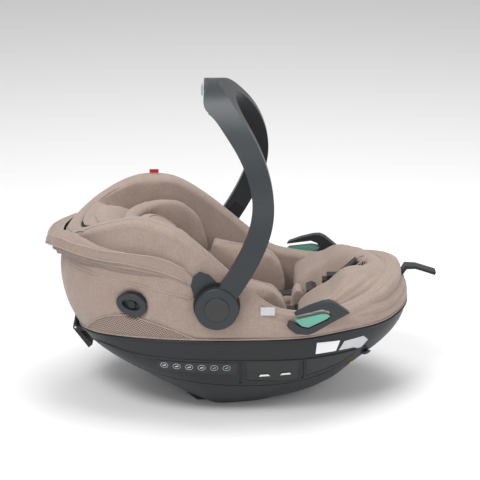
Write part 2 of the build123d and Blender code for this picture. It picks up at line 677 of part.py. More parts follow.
BUCKLE = [(124, 160), (145, 168), (140.6, 189), (132, 192.5), (122, 188)]
with BuildPart() as buckle_body:
    add(side_plate(BUCKLE, -22, 22))
    add(side_plate([(133, 170), (150, 173), (147, 184.4), (131.2, 181.4)], -11, 11), mode=Mode.SUBTRACT)
save(buckle_body.part, "buckle_body")
save(side_plate([(137.5, 171.9), (144.8, 173.3), (142.7, 182.4), (135.8, 181)], -10, 10), "buckle_button")

# Adjuster in the slot of the leg cover, its strap, and the loose end that hangs from the foot.
save(side_plate([(160, 206.5), (183, 206.5), (216, 239), (212, 243), (180, 214), (160, 214)], -11, 11),
     "adjuster_strap")
save(side_plate([(152, 194), (180, 194), (180, 205), (152, 205)], -12, 12), "adjuster_button")
TAIL = [(262, 217), (300, 217), (306, 226), (322, 226.5), (358, 214.5), (360, 219.5), (323, 231.5), (303, 232.5),
        (297, 222), (262, 222)]
save(side_plate(TAIL, -12, 12), "strap_tail")

# Soft hip bolsters of the newborn insert, on both sides of the seat.
BOLSTER = [(-58, back_line(-58, 18.5)), (28, back_line(28, 18.5)), (84, 136), (88, 160), (78, 205), (58, 226),
           (30, 232), (-10, 240), (-50, 250)]
save_pair(side_plate(BOLSTER, -122, -74), "hip_bolster")

# Small sewn labels, blank.
with BuildPart() as care_tag:
    with Locations((46, -196.5, 214)):
        Box(25, 0.8, 15)
save(care_tag.part, "care_tag")
with BuildPart() as woven_tag:
    with Locations((-160, 137, 371.8)):
        Box(17, 1.0, 7)
save(woven_tag.part, "woven_tag")
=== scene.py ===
import json
import math
from bisect import bisect_right

import bmesh
import bpy
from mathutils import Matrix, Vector, noise
from mathutils.bvhtree import BVHTree


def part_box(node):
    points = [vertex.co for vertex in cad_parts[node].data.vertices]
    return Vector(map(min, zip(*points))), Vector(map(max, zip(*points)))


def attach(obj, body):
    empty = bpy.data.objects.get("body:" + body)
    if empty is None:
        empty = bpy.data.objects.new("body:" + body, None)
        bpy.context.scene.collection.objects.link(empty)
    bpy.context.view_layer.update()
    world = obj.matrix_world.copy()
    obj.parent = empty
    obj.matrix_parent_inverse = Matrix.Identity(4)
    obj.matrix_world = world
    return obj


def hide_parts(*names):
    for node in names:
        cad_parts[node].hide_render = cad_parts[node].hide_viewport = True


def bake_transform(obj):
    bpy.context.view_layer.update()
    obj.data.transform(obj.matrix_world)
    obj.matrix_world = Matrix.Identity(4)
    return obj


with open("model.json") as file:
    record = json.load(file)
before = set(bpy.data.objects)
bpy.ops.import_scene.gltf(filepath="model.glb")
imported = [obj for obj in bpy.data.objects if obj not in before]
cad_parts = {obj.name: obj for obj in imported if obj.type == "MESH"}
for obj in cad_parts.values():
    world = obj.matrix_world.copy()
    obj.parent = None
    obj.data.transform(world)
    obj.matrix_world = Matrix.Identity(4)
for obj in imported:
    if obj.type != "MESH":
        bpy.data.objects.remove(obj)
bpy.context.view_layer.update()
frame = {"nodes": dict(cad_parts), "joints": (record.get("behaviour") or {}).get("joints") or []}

NODES = frame["nodes"]
MM = 0.001                # shapes are worked out in millimetres and built in metres
SIDES = (("right", -1), ("left", 1))

# ---- the body's shape: the CAD's hull, with wings that stand a little further out ----
HUB = [joint for joint in frame["joints"] if joint["name"] == "handle_turn"][0]["pos_m"]
HUB_X, HUB_Z = HUB[0] / MM, HUB[2] / MM
SOCKET = sum((Vector(corner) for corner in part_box("socket_bezel_right")), Vector()) / 2 / MM
PLAN_POWER = 2.3
# height, rear X, front X and half width of the padded shell
LEVELS = [
    (0.0, -70.0, 95.0, 98.0),
    (14.0, -97.0, 135.0, 120.0),
    (35.0, -140.0, 183.0, 144.0),
    (62.0, -192.0, 214.0, 165.0),
    (90.0, -243.0, 247.0, 181.0),
    (120.0, -284.0, 280.0, 191.0),
    (171.0, -312.0, 306.0, 196.0),
    (230.0, -325.0, 292.0, 197.0),
    (290.0, -322.0, 260.0, 188.0),
    (340.0, -303.0, 215.0, 179.0),
    (395.0, -278.0, 150.0, 166.0),
]
COVER_DEPTH = 33.0        # from the outer face to the lining inside the bucket


def line_through(points):
    """A smooth height over a distance, through the given points."""
    places = [point[0] for point in points]
    heights = [point[1] for point in points]
    slopes = []
    for i in range(len(points)):
        low, high = max(i - 1, 0), min(i + 1, len(points) - 1)
        slopes.append((heights[high] - heights[low]) / (places[high] - places[low]))

    def height(at):
        at = min(max(at, places[0]), places[-1])
        i = min(max(bisect_right(places, at) - 1, 0), len(places) - 2)
        gap = places[i + 1] - places[i]
        t = (at - places[i]) / gap
        bend_in, bend_out = t * (1 - t) ** 2 * gap * slopes[i], t * t * (t - 1) * gap * slopes[i + 1]
        blend = t * t * (3 - 2 * t)
        return heights[i] * (1 - blend) + heights[i + 1] * blend + bend_in + bend_out

    return height


rear_at = line_through([(level[0], level[1]) for level in LEVELS])
front_at = line_through([(level[0], level[2]) for level in LEVELS])
half_at = line_through([(level[0], level[3]) for level in LEVELS])
# side-view heights over X: the cover's foot, the seam over the runner, the wings' top and the seat
rim_at = line_through([(-340, 125), (-298, 136), (-281, 144), (-252, 150), (-215, 155), (-143, 159),
                       (-2, 159), (112, 158), (184, 163), (259, 165), (291, 172), (340, 184)])
seam_at = line_through([(-330, 138), (-277, 118), (-181, 87), (-73, 68), (60, 58), (160, 72), (238, 112),
                        (330, 172)])
wing_at = line_through([(-350, 288), (-300, 314), (-256, 342), (-188, 366), (-138, 360), (-96, 340),
                        (-61, 315), (-25, 285), (17, 247), (60, 214), (110, 203), (180, 204), (240, 220),
                        (300, 240), (340, 246)])
seat_at = line_through([(-350, 335), (-275, 335), (-122, 233), (30, 132), (85, 116), (120, 130), (166, 190),
                        (340, 190)])


def power(value):
    """Bends a sine or cosine to the fuller outline of the shell's plan."""
    return bowed(value, 2 / PLAN_POWER)


def egg(turn, rear, front, half):
    """A point of the egg-shaped plan outline, at a turn about the hub's X."""
    reach = front - HUB_X if math.cos(turn) > 0 else HUB_X - rear
    return HUB_X + reach * power(math.cos(turn)), half * power(math.sin(turn))


def hull(turn, height, inset=0.0):
    """A point of the padded shell's outer face, or inside it by the inset."""
    x, y = egg(turn, rear_at(height) + inset, front_at(height) - inset, half_at(height) - inset)
    return Vector((x, y, height))


def along(turn, line, inset=0.0):
    """The point of the hull at that turn which lies on a side-view line."""
    height = line(0.0)
    for _ in range(8):
        height = line(hull(turn, height, inset).x)
    return hull(turn, height, inset)


def turn_at(x, height, inset=0.0):
    """The turn, on the child's left, at which the hull has this X."""
    low, high = 0.0, math.pi
    for _ in range(40):
        middle = (low + high) / 2
        if hull(middle, height, inset).x > x:
            low = middle
        else:
            high = middle
    return low


def soften(value):
    value = min(max(value, 0.0), 1.0)
    return value * value * (3 - 2 * value)


def bowed(value, exponent):
    """A power of a sine or cosine that keeps its sign, which squares up a round section."""
    return math.copysign(abs(value) ** exponent, value)


def full_turn(count):
    """Angles of evenly spaced points round a circle."""
    return [2 * math.pi * k / count for k in range(count)]


def mirrored(point):
    return Vector((point.x, -point.y, point.z))


def ripple(point, scale, amount, seed=0.0):
    """Smooth seeded unevenness of cloth, in millimetres."""
    return amount * noise.noise(Vector((point[0] / scale + seed, point[1] / scale, point[2] / scale - seed)))


# ---- mesh helpers ----
def finish_mesh(name, mesh, look, smooth=True):
    piece = bpy.data.objects.new(name, mesh)
    bpy.context.scene.collection.objects.link(piece)
    if look:
        mesh.materials.append(LOOKS[look])
    mesh.polygons.foreach_set("use_smooth", [smooth] * len(mesh.polygons))
    mesh.update()
    return piece


def build(name, points, faces, look, smooth=True):
    """A piece from points in millimetres; its faces are turned outwards."""
    mesh = bpy.data.meshes.new(name)
    mesh.from_pydata([Vector(point) * MM for point in points], [], faces)
    shaped = bmesh.new()
    shaped.from_mesh(mesh)
    bmesh.ops.remove_doubles(shaped, verts=shaped.verts, dist=1e-6)
    bmesh.ops.recalc_face_normals(shaped, faces=shaped.faces)
    shaped.to_mesh(mesh)
    shaped.free()
    return finish_mesh(name, mesh, look, smooth)


def lattice(rows, around=False, over=False, caps=False):
    """Points and faces of a grid of rows, closed around each row or over from last to first row."""
    width = len(rows[0])
    points = [point for row in rows for point in row]
    faces = []
    for j in range(len(rows) if over else len(rows) - 1):
        for i in range(width if around else width - 1):
            a, b = j * width + i, j * width + (i + 1) % width
            c, d = ((j + 1) % len(rows)) * width + (i + 1) % width, ((j + 1) % len(rows)) * width + i
            faces.append((a, b, c, d))
    if caps:
        faces.append(tuple(range(width)))
        faces.append(tuple((len(rows) - 1) * width + i for i in range(width)))
    return points, faces


def grid(down, along, point):
    """Rows of points from a function of two shares, each going from 0 to 1."""
    return [[point(j / down, k / along) for k in range(along + 1)] for j in range(down + 1)]


def sheet_piece(name, rows, look, around=False, over=False, caps=False):
    points, faces = lattice(rows, around, over, caps)
    return build(name, points, faces, look)


def tube_rings(path, radius, sides=8, closed=False, squash=1.0):
    """Rings of a round cord laid along a path."""
    count = len(path)
    rings, side = [], None
    for i, centre in enumerate(path):
        ahead = path[(i + 1) % count] if closed or i + 1 < count else path[i]
        behind = path[i - 1] if closed or i > 0 else path[i]
        direction = (ahead - behind).normalized()
        if side is None:
            side = direction.cross(Vector((0, 0, 1)))
            if side.length < 0.1:
                side = direction.cross(Vector((0, 1, 0)))
        side = (side - direction * side.dot(direction)).normalized()
        up = direction.cross(side)
        rings.append([centre + radius * (math.cos(a) * side + squash * math.sin(a) * up)
                      for a in full_turn(sides)])
    return rings


def tube(name, path, radius, look, closed=False, squash=1.0):
    points, faces = lattice(tube_rings(path, radius, closed=closed, squash=squash), around=True, over=closed,
                            caps=not closed)
    return build(name, points, faces, look)


def resample(path, step):
    """The same path with points a fixed step apart."""
    result, left = [path[0].copy()], step
    for start, end in zip(path, path[1:]):
        length = (end - start).length
        while left <= length and length > 0:
            result.append(start.lerp(end, left / length))
            left += step
        left -= length
    return result


def stitches(name, path, look="thread", pitch=5.0, length=3.2, radius=0.45):
    """A row of sewn stitches along a path, as one piece."""
    points, faces = [], []
    spots = resample(path, pitch)
    for spot, following in zip(spots, spots[1:]):
        reach = (following - spot).normalized() * length
        ring_points, ring_faces = lattice(
            tube_rings([spot, spot + reach * 0.12, spot + reach * 0.88, spot + reach], radius, sides=5),
            around=True, caps=True)
        faces += [tuple(index + len(points) for index in face) for face in ring_faces]
        points += ring_points
    return build(name, points, faces, look)


def place(piece, body, replaces=()):
    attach(piece, body)
    if replaces:
        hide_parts(*replaces)
    return piece


def sewn(name, path, radius=1.3, look="piping", closed=False, body="seat"):
    """Piping or a hem along a path."""
    return place(tube(name, path, radius, look, closed=closed), body)


def stitched(name, path):
    """A row of stitches that rides on the seat."""
    return place(stitches(name, path), "seat")


def pad(piece, body, replaces=()):
    """Place a stuffed piece on its body and hide the CAD parts it replaces."""
    place(piece, body, replaces)
    return piece


def with_thickness(piece, thickness, offset=-1.0):
    """Give a cloth sheet its real thickness."""
    solidify = piece.modifiers.new("thickness", "SOLIDIFY")
    solidify.thickness = thickness * MM
    solidify.offset = offset
    bake(piece)
    return piece


def bake(piece):
    """Apply the modifiers of a piece to its mesh."""
    graph = bpy.context.evaluated_depsgraph_get()
    baked = bpy.data.meshes.new_from_object(piece.evaluated_get(graph))
    piece.modifiers.clear()
    piece.data = baked
    baked.polygons.foreach_set("use_smooth", [True] * len(baked.polygons))
    return piece


# ---- stuffed pieces, puffed up by a short cloth simulation ----
def stuffed(name, node, look, shrink=1.5, voxel=4.5, cap=7.0, pressure=4.0, frames=20, smooth=10):
    """A pillow-like copy of a CAD node: remeshed, puffed by cloth pressure, then smoothed."""
    mesh = NODES[node].data.copy()
    mesh.materials.clear()
    piece = finish_mesh(name, mesh, look)
    remesh = piece.modifiers.new("remesh", "REMESH")
    remesh.mode = "VOXEL"
    remesh.voxel_size = voxel * MM
    relax = piece.modifiers.new("relax", "SMOOTH")
    relax.factor = 0.6
    relax.iterations = smooth
    bake(piece)
    if shrink:
        for vertex, normal in zip(piece.data.vertices, [v.normal.copy() for v in piece.data.vertices]):
            vertex.co -= normal * shrink * MM
    puff(piece, cap, pressure, frames)
    divide = piece.modifiers.new("finer", "SUBSURF")
    divide.levels = divide.render_levels = 1
    bake(piece)
    if not piece.data.materials:
        piece.data.materials.append(LOOKS[look])
    return piece


def puff(piece, cap, pressure, frames):
    """Run the cloth for a few frames and keep the result, no point moving further than the cap."""
    start = [vertex.co.copy() for vertex in piece.data.vertices]
    cloth = piece.modifiers.new("cloth", "CLOTH")
    cloth.settings.use_pressure = True
    cloth.settings.uniform_pressure_force = pressure
    cloth.settings.effector_weights.gravity = 0
    cloth.settings.quality = 5
    cloth.point_cache.frame_start = 1
    cloth.point_cache.frame_end = frames
    for number in range(1, frames + 1):
        bpy.context.scene.frame_set(number)
    bake(piece)
    for vertex, origin in zip(piece.data.vertices, start):
        move = vertex.co - origin
        if move.length > cap * MM:
            vertex.co = origin + move.normalized() * cap * MM
    bpy.context.scene.frame_set(1)


def surface_of(piece):
    """Ray-casting tree of a finished piece."""
    vertices = [vertex.co.copy() for vertex in piece.data.vertices]
    return BVHTree.FromPolygons(vertices, [tuple(polygon.vertices) for polygon in piece.data.polygons])


def on_surface(tree, origin, direction):
    """Where a ray in millimetres meets a piece, or None."""
    hit = tree.ray_cast(Vector(origin) * MM, Vector(direction).normalized())[0]
    return None if hit is None else hit / MM


def girdle(tree, centre, plane_normal, around=72, lift=0.6):
    """A closed line round a piece, where a plane through its centre cuts it."""
    normal = Vector(plane_normal).normalized()
    first = normal.orthogonal().normalized()
    second = normal.cross(first)
    path = []
    for angle in full_turn(around):
        direction = math.cos(angle) * first + math.sin(angle) * second
        hit = on_surface(tree, Vector(centre) + direction * 400, -direction)
        if hit is not None:
            path.append(hit + direction * lift)
    return path


# ---- camera, floor and lights ----
def make_camera():
    azimuth, elevation, distance = math.radians(-0.7), math.radians(18.5), 3.6
    target = Vector((0.0, 0.0, 0.280))
    back = Vector((math.sin(azimuth) * math.cos(elevation), -math.cos(azimuth) * math.cos(elevation),
                   math.sin(elevation)))
    data = bpy.data.cameras.new("camera")
    data.sensor_width = 36.0
    data.lens = 147.5
    camera = bpy.data.objects.new("camera", data)
    camera.location = target + distance * back
    camera.rotation_euler = back.to_track_quat("Z", "Y").to_euler()
    bpy.context.scene.collection.objects.link(camera)
    bpy.context.scene.camera = camera


def area_light(name, spot, size, watts, aim=(0.0, 0.0, 0.25)):
    data = bpy.data.lights.new(name, "AREA")
    data.shape = "RECTANGLE"
    data.size, data.size_y = size
    data.energy = watts
    lamp = bpy.data.objects.new(name, data)
    lamp.location = spot
    lamp.rotation_euler = (Vector(spot) - Vector(aim)).to_track_quat("Z", "Y").to_euler()
    bpy.context.scene.collection.objects.link(lamp)


def make_studio():
    floor_mesh = bpy.data.meshes.new("floor")
    floor_mesh.from_pydata([(-12, -12, 0), (12, -12, 0), (12, 12, 0), (-12, 12, 0)], [], [(0, 1, 2, 3)])
    floor = bpy.data.objects.new("floor", floor_mesh)
    bpy.context.scene.collection.objects.link(floor)
    pale = bpy.data.materials.new("floor_pale")
    pale.use_nodes = True
    shader = pale.node_tree.nodes["Principled BSDF"]
    shader.inputs["Base Color"].default_value = (0.92, 0.92, 0.92, 1)
    shader.inputs["Roughness"].default_value = 0.9
    floor_mesh.materials.append(pale)
    world = bpy.data.worlds.new("studio")
    world.use_nodes = True
    world.node_tree.nodes["Background"].inputs["Color"].default_value = (1, 1, 1, 1)
    world.node_tree.nodes["Background"].inputs["Strength"].default_value = 0.46
    bpy.context.scene.world = world
    bpy.context.scene.view_settings.view_transform = "Standard"
    area_light("key", (-1.1, -1.7, 2.7), (1.4, 1.0), 48)
    area_light("front", (0.3, -3.4, 1.2), (2.4, 1.6), 20)
    area_light("top", (0.2, 0.3, 3.0), (2.0, 1.6), 52)
    area_light("side", (2.6, -0.8, 1.4), (1.0, 1.6), 12)


# ---- materials ----
class Look:
    """A small helper that wires one principled material."""

    def __init__(self, name, roughness, **numbers):
        self.material = bpy.data.materials.new(name)
        self.material.use_nodes = True
        self.nodes = self.material.node_tree.nodes
        self.links = self.material.node_tree.links
        self.shader = self.nodes["Principled BSDF"]
        self.shader.inputs["Roughness"].default_value = roughness
        for key, value in numbers.items():
            self.shader.inputs[key.replace("_", " ")].default_value = value
        self.coords = self.nodes.new("ShaderNodeTexCoord").outputs["Object"]
        self.height = None

    def texture(self, kind, vector=None, **numbers):
        """A node that reads the piece's own coordinates, or another vector."""
        node = self.nodes.new("ShaderNode" + kind)
        for key, value in numbers.items():
            node.inputs[key].default_value = value
        self.links.new(vector or self.coords, node.inputs["Vector"])
        return node

    def mapped(self, scale=(1, 1, 1), turn=(0, 0, 0)):
        return self.texture("Mapping", Scale=scale, Rotation=turn).outputs["Vector"]

    def noise(self, scale, detail=2.0, vector=None, roughness=0.5):
        node = self.texture("TexNoise", vector, Scale=scale, Detail=detail, Roughness=roughness)
        return node.outputs["Fac"]

    def wave(self, scale, vector=None, direction="X", distortion=0.0):
        node = self.texture("TexWave", vector, Scale=scale, Distortion=distortion)
        node.bands_direction = direction
        return node.outputs["Fac"]

    def math(self, operation, first, second):
        node = self.nodes.new("ShaderNodeMath")
        node.operation = operation
        for index, value in enumerate((first, second)):
            if isinstance(value, (int, float)):
                node.inputs[index].default_value = value
            else:
                self.links.new(value, node.inputs[index])
        return node.outputs[0]

    def colour(self, factor, stops):
        """Base colour from a ramp of (position, (r, g, b)) stops."""
        ramp = self.nodes.new("ShaderNodeValToRGB")
        while len(ramp.color_ramp.elements) < len(stops):
            ramp.color_ramp.elements.new(0.5)
        for element, (position, shade) in zip(ramp.color_ramp.elements, stops):
            element.position = position
            element.color = (*shade, 1)
        self.links.new(factor, ramp.inputs["Fac"])
        self.links.new(ramp.outputs["Color"], self.shader.inputs["Base Color"])

    def roughness(self, factor, low, high):
        ramp = self.nodes.new("ShaderNodeMapRange")
        ramp.inputs["To Min"].default_value = low
        ramp.inputs["To Max"].default_value = high
        self.links.new(factor, ramp.inputs["Value"])
        self.links.new(ramp.outputs["Result"], self.shader.inputs["Roughness"])

    def bump(self, factor, distance, strength=1.0):
        node = self.nodes.new("ShaderNodeBump")
        node.inputs["Distance"].default_value = distance
        node.inputs["Strength"].default_value = strength
        self.links.new(factor, node.inputs["Height"])
        if self.height:
            self.links.new(self.height, node.inputs["Normal"])
        self.height = node.outputs["Normal"]
        self.links.new(self.height, self.shader.inputs["Normal"])


def tint(shade, factor):
    return tuple(channel * factor for channel in shade)


def knit(name, shade, contrast=0.16):
    """Melange jersey: short light and dark fibres over a fine knit."""
    look = Look(name, 0.92, Sheen_Weight=0.25, Sheen_Roughness=0.5, Specular_IOR_Level=0.2)
    fibre = look.noise(420, 3.0, look.mapped((1, 1, 0.55)), 0.7)
    patch = look.noise(38, 2.0)
    mixed = look.math("ADD", look.math("MULTIPLY", fibre, 0.75), look.math("MULTIPLY", patch, 0.25))
    look.colour(mixed, [(0.30, tint(shade, 1 - contrast)), (0.50, shade), (0.68, tint(shade, 1 + contrast))])
    look.bump(look.noise(700, 1.0), 0.0004, 0.5)
    look.bump(look.wave(260, look.mapped(turn=(0.0, 0.9, 0.3)), "Z", 1.5), 0.0003, 0.35)
    return look.material


def weave(name, shade, contrast=0.07):
    look = Look(name, 0.88, Sheen_Weight=0.2, Sheen_Roughness=0.5, Specular_IOR_Level=0.2)
    look.colour(look.noise(260, 2.0), [(0.3, tint(shade, 1 - contrast)), (0.7, tint(shade, 1 + contrast))])
    crossed = look.math("MULTIPLY", look.wave(420, direction="Z"), look.wave(420, direction="X"))
    look.bump(crossed, 0.0003, 0.4)
    look.bump(look.noise(30, 3.0), 0.002, 0.25)
    return look.material


def spacer_mesh(name, light, dark):
    """Open spacer fabric: slanted rows of small holes."""
    look = Look(name, 0.9, Sheen_Weight=0.2, Specular_IOR_Level=0.2)
    slant = look.mapped(turn=(0.0, math.radians(35), 0.0))
    rows = look.wave(88, slant, "X")
    dots = look.wave(88, slant, "Z")
    holes = look.math("MULTIPLY", rows, dots)
    look.colour(holes, [(0.10, light), (0.42, dark)])
    look.bump(look.math("SUBTRACT", 1.0, holes), 0.0012, 0.8)
    return look.material


def plastic(name, shade, roughness=0.42, grain=0.00012, grain_scale=900, **numbers):
    """Moulded plastic: fine spark-eroded grain, faint cloudy colour and gloss."""
    look = Look(name, roughness, **numbers)
    cloud = look.noise(9, 3.0)
    look.colour(cloud, [(0.3, tint(shade, 0.93)), (0.7, tint(shade, 1.08))])
    look.roughness(look.noise(45, 4.0), roughness - 0.05, roughness + 0.07)
    look.bump(look.noise(grain_scale, 2.0), grain, 0.6)
    return look.material


def metal(name, shade, roughness=0.3):
    look = Look(name, roughness, Metallic=1.0)
    look.colour(look.noise(20, 2.0), [(0.3, tint(shade, 0.9)), (0.7, shade)])
    look.bump(look.noise(500, 2.0, look.mapped((1, 0.05, 1))), 0.0001, 0.4)
    return look.material


def webbing(name, shade):
    look = Look(name, 0.7, Sheen_Weight=0.1)
    rib = look.wave(330, direction="Y")
    look.colour(rib, [(0.2, tint(shade, 0.6)), (0.8, tint(shade, 1.5))])
    look.bump(look.math("MULTIPLY", rib, look.wave(300, direction="X")), 0.0006, 0.7)
    return look.material


BEIGE = (0.326, 0.251, 0.214)
PALE_BEIGE = (0.372, 0.290, 0.250)
SLATE = (0.017, 0.020, 0.023)
LOOKS = {
    "knit": knit("knit_fabric", BEIGE),
    "knit_pale": knit("knit_fabric_pale", PALE_BEIGE),
    "weave": weave("weave_fabric", (0.318, 0.243, 0.208)),
    # a darker copy of the weave: painted shade for the lowest canopy fold and the pleated gores between the
    # folds
    "weave_painted_shade": weave("weave_fabric_painted_shade", (0.25, 0.192, 0.165)),
    "mesh": spacer_mesh("spacer_mesh", (0.34, 0.26, 0.22), (0.085, 0.06, 0.05)),
    "piping": weave("piping", (0.37, 0.30, 0.265)),
    "shell": plastic("shell_plastic", SLATE, 0.38, Specular_IOR_Level=0.3),
    "handle": plastic("handle_plastic", (0.026, 0.031, 0.036), 0.33, Specular_IOR_Level=0.35),
    "black": plastic("black_plastic", (0.010, 0.010, 0.011), 0.5),
    "window": plastic("window_plastic", (0.016, 0.016, 0.017), 0.45),
    "badge": plastic("badge_plastic", (0.020, 0.020, 0.021), 0.3),
    "gloss": plastic("gloss_black", (0.008, 0.008, 0.009), 0.15, 0.00003),
    "mint": plastic("mint_plastic", (0.13, 0.375, 0.29), 0.45),
    "grey": plastic("grey_plastic", (0.42, 0.44, 0.45), 0.45),
    "red": plastic("red_plastic", (0.45, 0.02, 0.02), 0.3, 0.00003),
    "paper": plastic("label_paper", (0.78, 0.78, 0.78), 0.5, 0.00003),
    "silver": plastic("label_silver", (0.50, 0.51, 0.53), 0.4, 0.00003),
    "steel": metal("bright_steel", (0.62, 0.62, 0.62)),
    "foam": plastic("bead_foam", (0.03, 0.03, 0.03), 0.9, 0.0008, 260),
    "webbing": webbing("black_webbing", (0.014, 0.014, 0.015)),
    "black_cloth": weave("black_lining", (0.012, 0.012, 0.012)),
    "thread": weave("sewing_thread", (0.42, 0.35, 0.31)),
    "yellow": plastic("label_yellow", (0.70, 0.52, 0.03), 0.45, 0.00003),
}

CAD_LOOKS = {
    "shell": ("lower_shell", "rocker_base"),
    "handle": ("handle_bow", "hub_caps", "belt_guide_*", "socket_bezel_*", "canopy_bracket_*"),
    "black": ("docking_frame", "base_lever", "hub_housing_*", "release_button_*", "socket_button_*",
              "adjuster_button"),
    "window": ("adapter_windows", "textured_panels"),
    "badge": ("hub_badges",),
    "gloss": ("canopy_pins", "buckle_tongues", "buckle_body"),
    "mint": ("guide_inlays",),
    "grey": ("grip_tab", "lock_gear_*"),
    "red": ("buckle_button", "woven_tag"),
    "paper": ("label_pale",),
    "silver": ("label_grey", "care_tag"),
    "steel": ("docking_bars", "base_screws", "lever_pin", "pivot_axles"),
    "foam": ("foam_*",),
    "webbing": ("harness_straps", "adjuster_strap", "strap_tail"),
    "knit": ("side_cover", "bucket_lining", "seat_pad", "leg_cover", "headrest_core", "headrest_cushion",
             "hip_bolster_*", "shoulder_pad_*", "crotch_pad"),
    "weave": ("canopy_front_fold", "canopy_middle_fold", "canopy_lower_fold", "canopy_rear_panel"),
}


def matching(pattern):
    stem = pattern.rstrip("*")
    return [name for name in NODES if name == pattern or (pattern.endswith("*") and name.startswith(stem))]


def paint_cad():
    for key, patterns in CAD_LOOKS.items():
        for pattern in patterns:
            for name in matching(pattern):
                for material_slot in NODES[name].material_slots:
                    material_slot.material = LOOKS[key]


# Small rounded edges where the mouldings show.
EDGE_ROUNDS = {"handle_bow": 4.0, "belt_guide_*": 3.5, "guide_inlays": 1.5, "lower_shell": 1.0,
               "rocker_base": 1.5, "docking_frame": 2.0, "release_button_*": 1.0,
               "canopy_bracket_*": 0.8, "strap_tail": 1.2, "buckle_body": 3.0, "buckle_button": 1.0,
               "base_lever": 1.5, "grip_tab": 1.0, "adjuster_button": 1.0,
               "headrest_core": 1.0, "hub_housing_*": 1.0}


def round_edges():
    for pattern, size in EDGE_ROUNDS.items():
        for name in matching(pattern):
            bevel = NODES[name].modifiers.new("rounded", "BEVEL")
            bevel.width = size * MM
            bevel.segments = 3
            bevel.limit_method = "ANGLE"
            bevel.angle_limit = math.radians(38)
            bevel.harden_normals = False


# ---- padded cover of the shell ----
TURNS = 288
HUB_SIDE = 197.0          # how far out the handle's hubs sit
WALL_STEPS, ROLL_STEPS, LINING_STEPS = 30, 16, 22     # points up the wall, over the edge, down inside
STITCH_ROW, SHOULDER_ROW = 32, 35                     # where the edge is stitched and piped
SOFT_HEIGHT = 14.0        # height of the rolled wing edge
WALL_SWELL = 4.2          # how far the padded wall bulges at half its height
LEAN = 6.0                # how far the inner wall leans in towards the seat


def near(point, centre, reach):
    """1 at the centre, falling smoothly to 0 at the reach."""
    return soften(1 - (Vector(point) - Vector(centre)).length / reach)


def cover_bulge(point, share):
    """How far the padded wall stands proud of the hull, in millimetres."""
    hub = (HUB_X, math.copysign(HUB_SIDE, point.y), HUB_Z)
    socket = (SOCKET.x, math.copysign(SOCKET.y, point.y), SOCKET.z)
    bulge = WALL_SWELL * math.sin(math.pi * min(share * 1.1, 1.0)) ** 0.8 - 1.2
    bulge += ripple(point, 62, 1.1) + ripple(point, 24, 0.5, 3.0)
    flat = max(near(point, hub, 78), near(point, socket, 56))
    bulge = bulge * (1 - min(flat * 1.6, 1)) - 3.0 * min(near(point, hub, 62) * 3, 1)
    bulge -= 11 * soften(near(point, socket, 34) * 2.6)
    for line, depth in CREASES:
        strength = soften((point.x - 188) / 30) * soften((318 - point.x) / 24)
        bulge -= depth * strength * math.exp(-((point.z - line(point.x)) / 3.4) ** 2)
        bulge += 0.7 * depth * strength * math.exp(-((point.z - line(point.x) - 7) / 5) ** 2)
    return bulge


# soft creases where the cover is pulled round the foot end, as heights over X
CREASES = ((line_through([(180, 205), (249, 204), (293, 216), (310, 232)]), 2.6),
           (line_through([(180, 186), (258, 187), (296, 200), (312, 216)]), 1.8),
           (line_through([(180, 196), (230, 195), (280, 206), (312, 224)]), 1.2))


# how much further out than the foam behind it the padded wing stands, over its height
wing_flare = line_through([(240, 0), (290, 2), (340, 9), (395, 22)])


def cover_column(turn):
    """One upright strip of the cover: outer wall, rolled edge and inner wall."""
    foot = along(turn, rim_at)
    top = along(turn, wing_at)
    column = []
    for k in range(WALL_STEPS):
        share = k / (WALL_STEPS - 1)
        height = foot.z + 1.5 + (top.z - SOFT_HEIGHT - foot.z - 1.5) * share
        out = cover_bulge(hull(turn, height), share) if k else -2.5
        column.append(hull(turn, height, -out))
    crest_out = -cover_bulge(hull(turn, top.z - SOFT_HEIGHT), 1.0)
    crest_in = COVER_DEPTH + 1 + wing_flare(top.z - SOFT_HEIGHT) * abs(power(math.sin(turn)))
    middle, reach = (crest_out + crest_in) / 2, (crest_in - crest_out) / 2
    swell = 1 + ripple(top, 70, 0.12, 5.0)
    for k in range(1, ROLL_STEPS):
        angle = math.pi * k / ROLL_STEPS
        point = hull(turn, top.z - SOFT_HEIGHT, middle - reach * math.cos(angle))
        local_top = max(top.z, wing_at(point.x))
        column.append(Vector((point.x, point.y,
                              local_top - SOFT_HEIGHT + SOFT_HEIGHT * swell * math.sin(angle) ** 0.85)))
    inner_top = hull(turn, top.z - SOFT_HEIGHT, crest_in)
    inner_top.z = local_top - SOFT_HEIGHT
    inward = Vector((HUB_X - inner_top.x, -inner_top.y, 0)).normalized()
    inner_foot = min(seat_at(inner_top.x) - 4, inner_top.z - 16)
    for k in range(LINING_STEPS):
        share = k / (LINING_STEPS - 1)
        height = inner_top.z + (inner_foot - inner_top.z) * share
        lean = LEAN * share + ripple((turn * 200, height, 0), 50, 1.2)
        point = inner_top + inward * lean
        column.append(Vector((point.x, point.y, height)))
    return column


def make_cover():
    columns = [cover_column(turn) for turn in full_turn(TURNS)]
    rows = [[column[j] for column in columns] for j in range(len(columns[0]))]
    cover = sheet_piece("padded_cover", rows, "knit", around=True)
    pad(cover, "seat", ("side_cover", "bucket_lining"))
    # piping on the outer shoulder of the rolled edge, and stitches beside it
    shoulder = [column[SHOULDER_ROW].lerp(column[SHOULDER_ROW + 1], 0.5) for column in columns]
    sewn("wing_piping", shoulder, closed=True)
    beside = [column[STITCH_ROW] for column in columns]
    lifted = [point + Vector((point.x - HUB_X, point.y, 0)).normalized() * 0.3 for point in beside]
    stitched("wing_stitches", lifted + lifted[:1])
    # a tucked hem where the cover meets the shell
    hem = [along(turn, rim_at, -0.2) + Vector((0, 0, 1.6)) for turn in full_turn(TURNS)]
    sewn("lower_hem", hem, 1.6, "knit", closed=True)


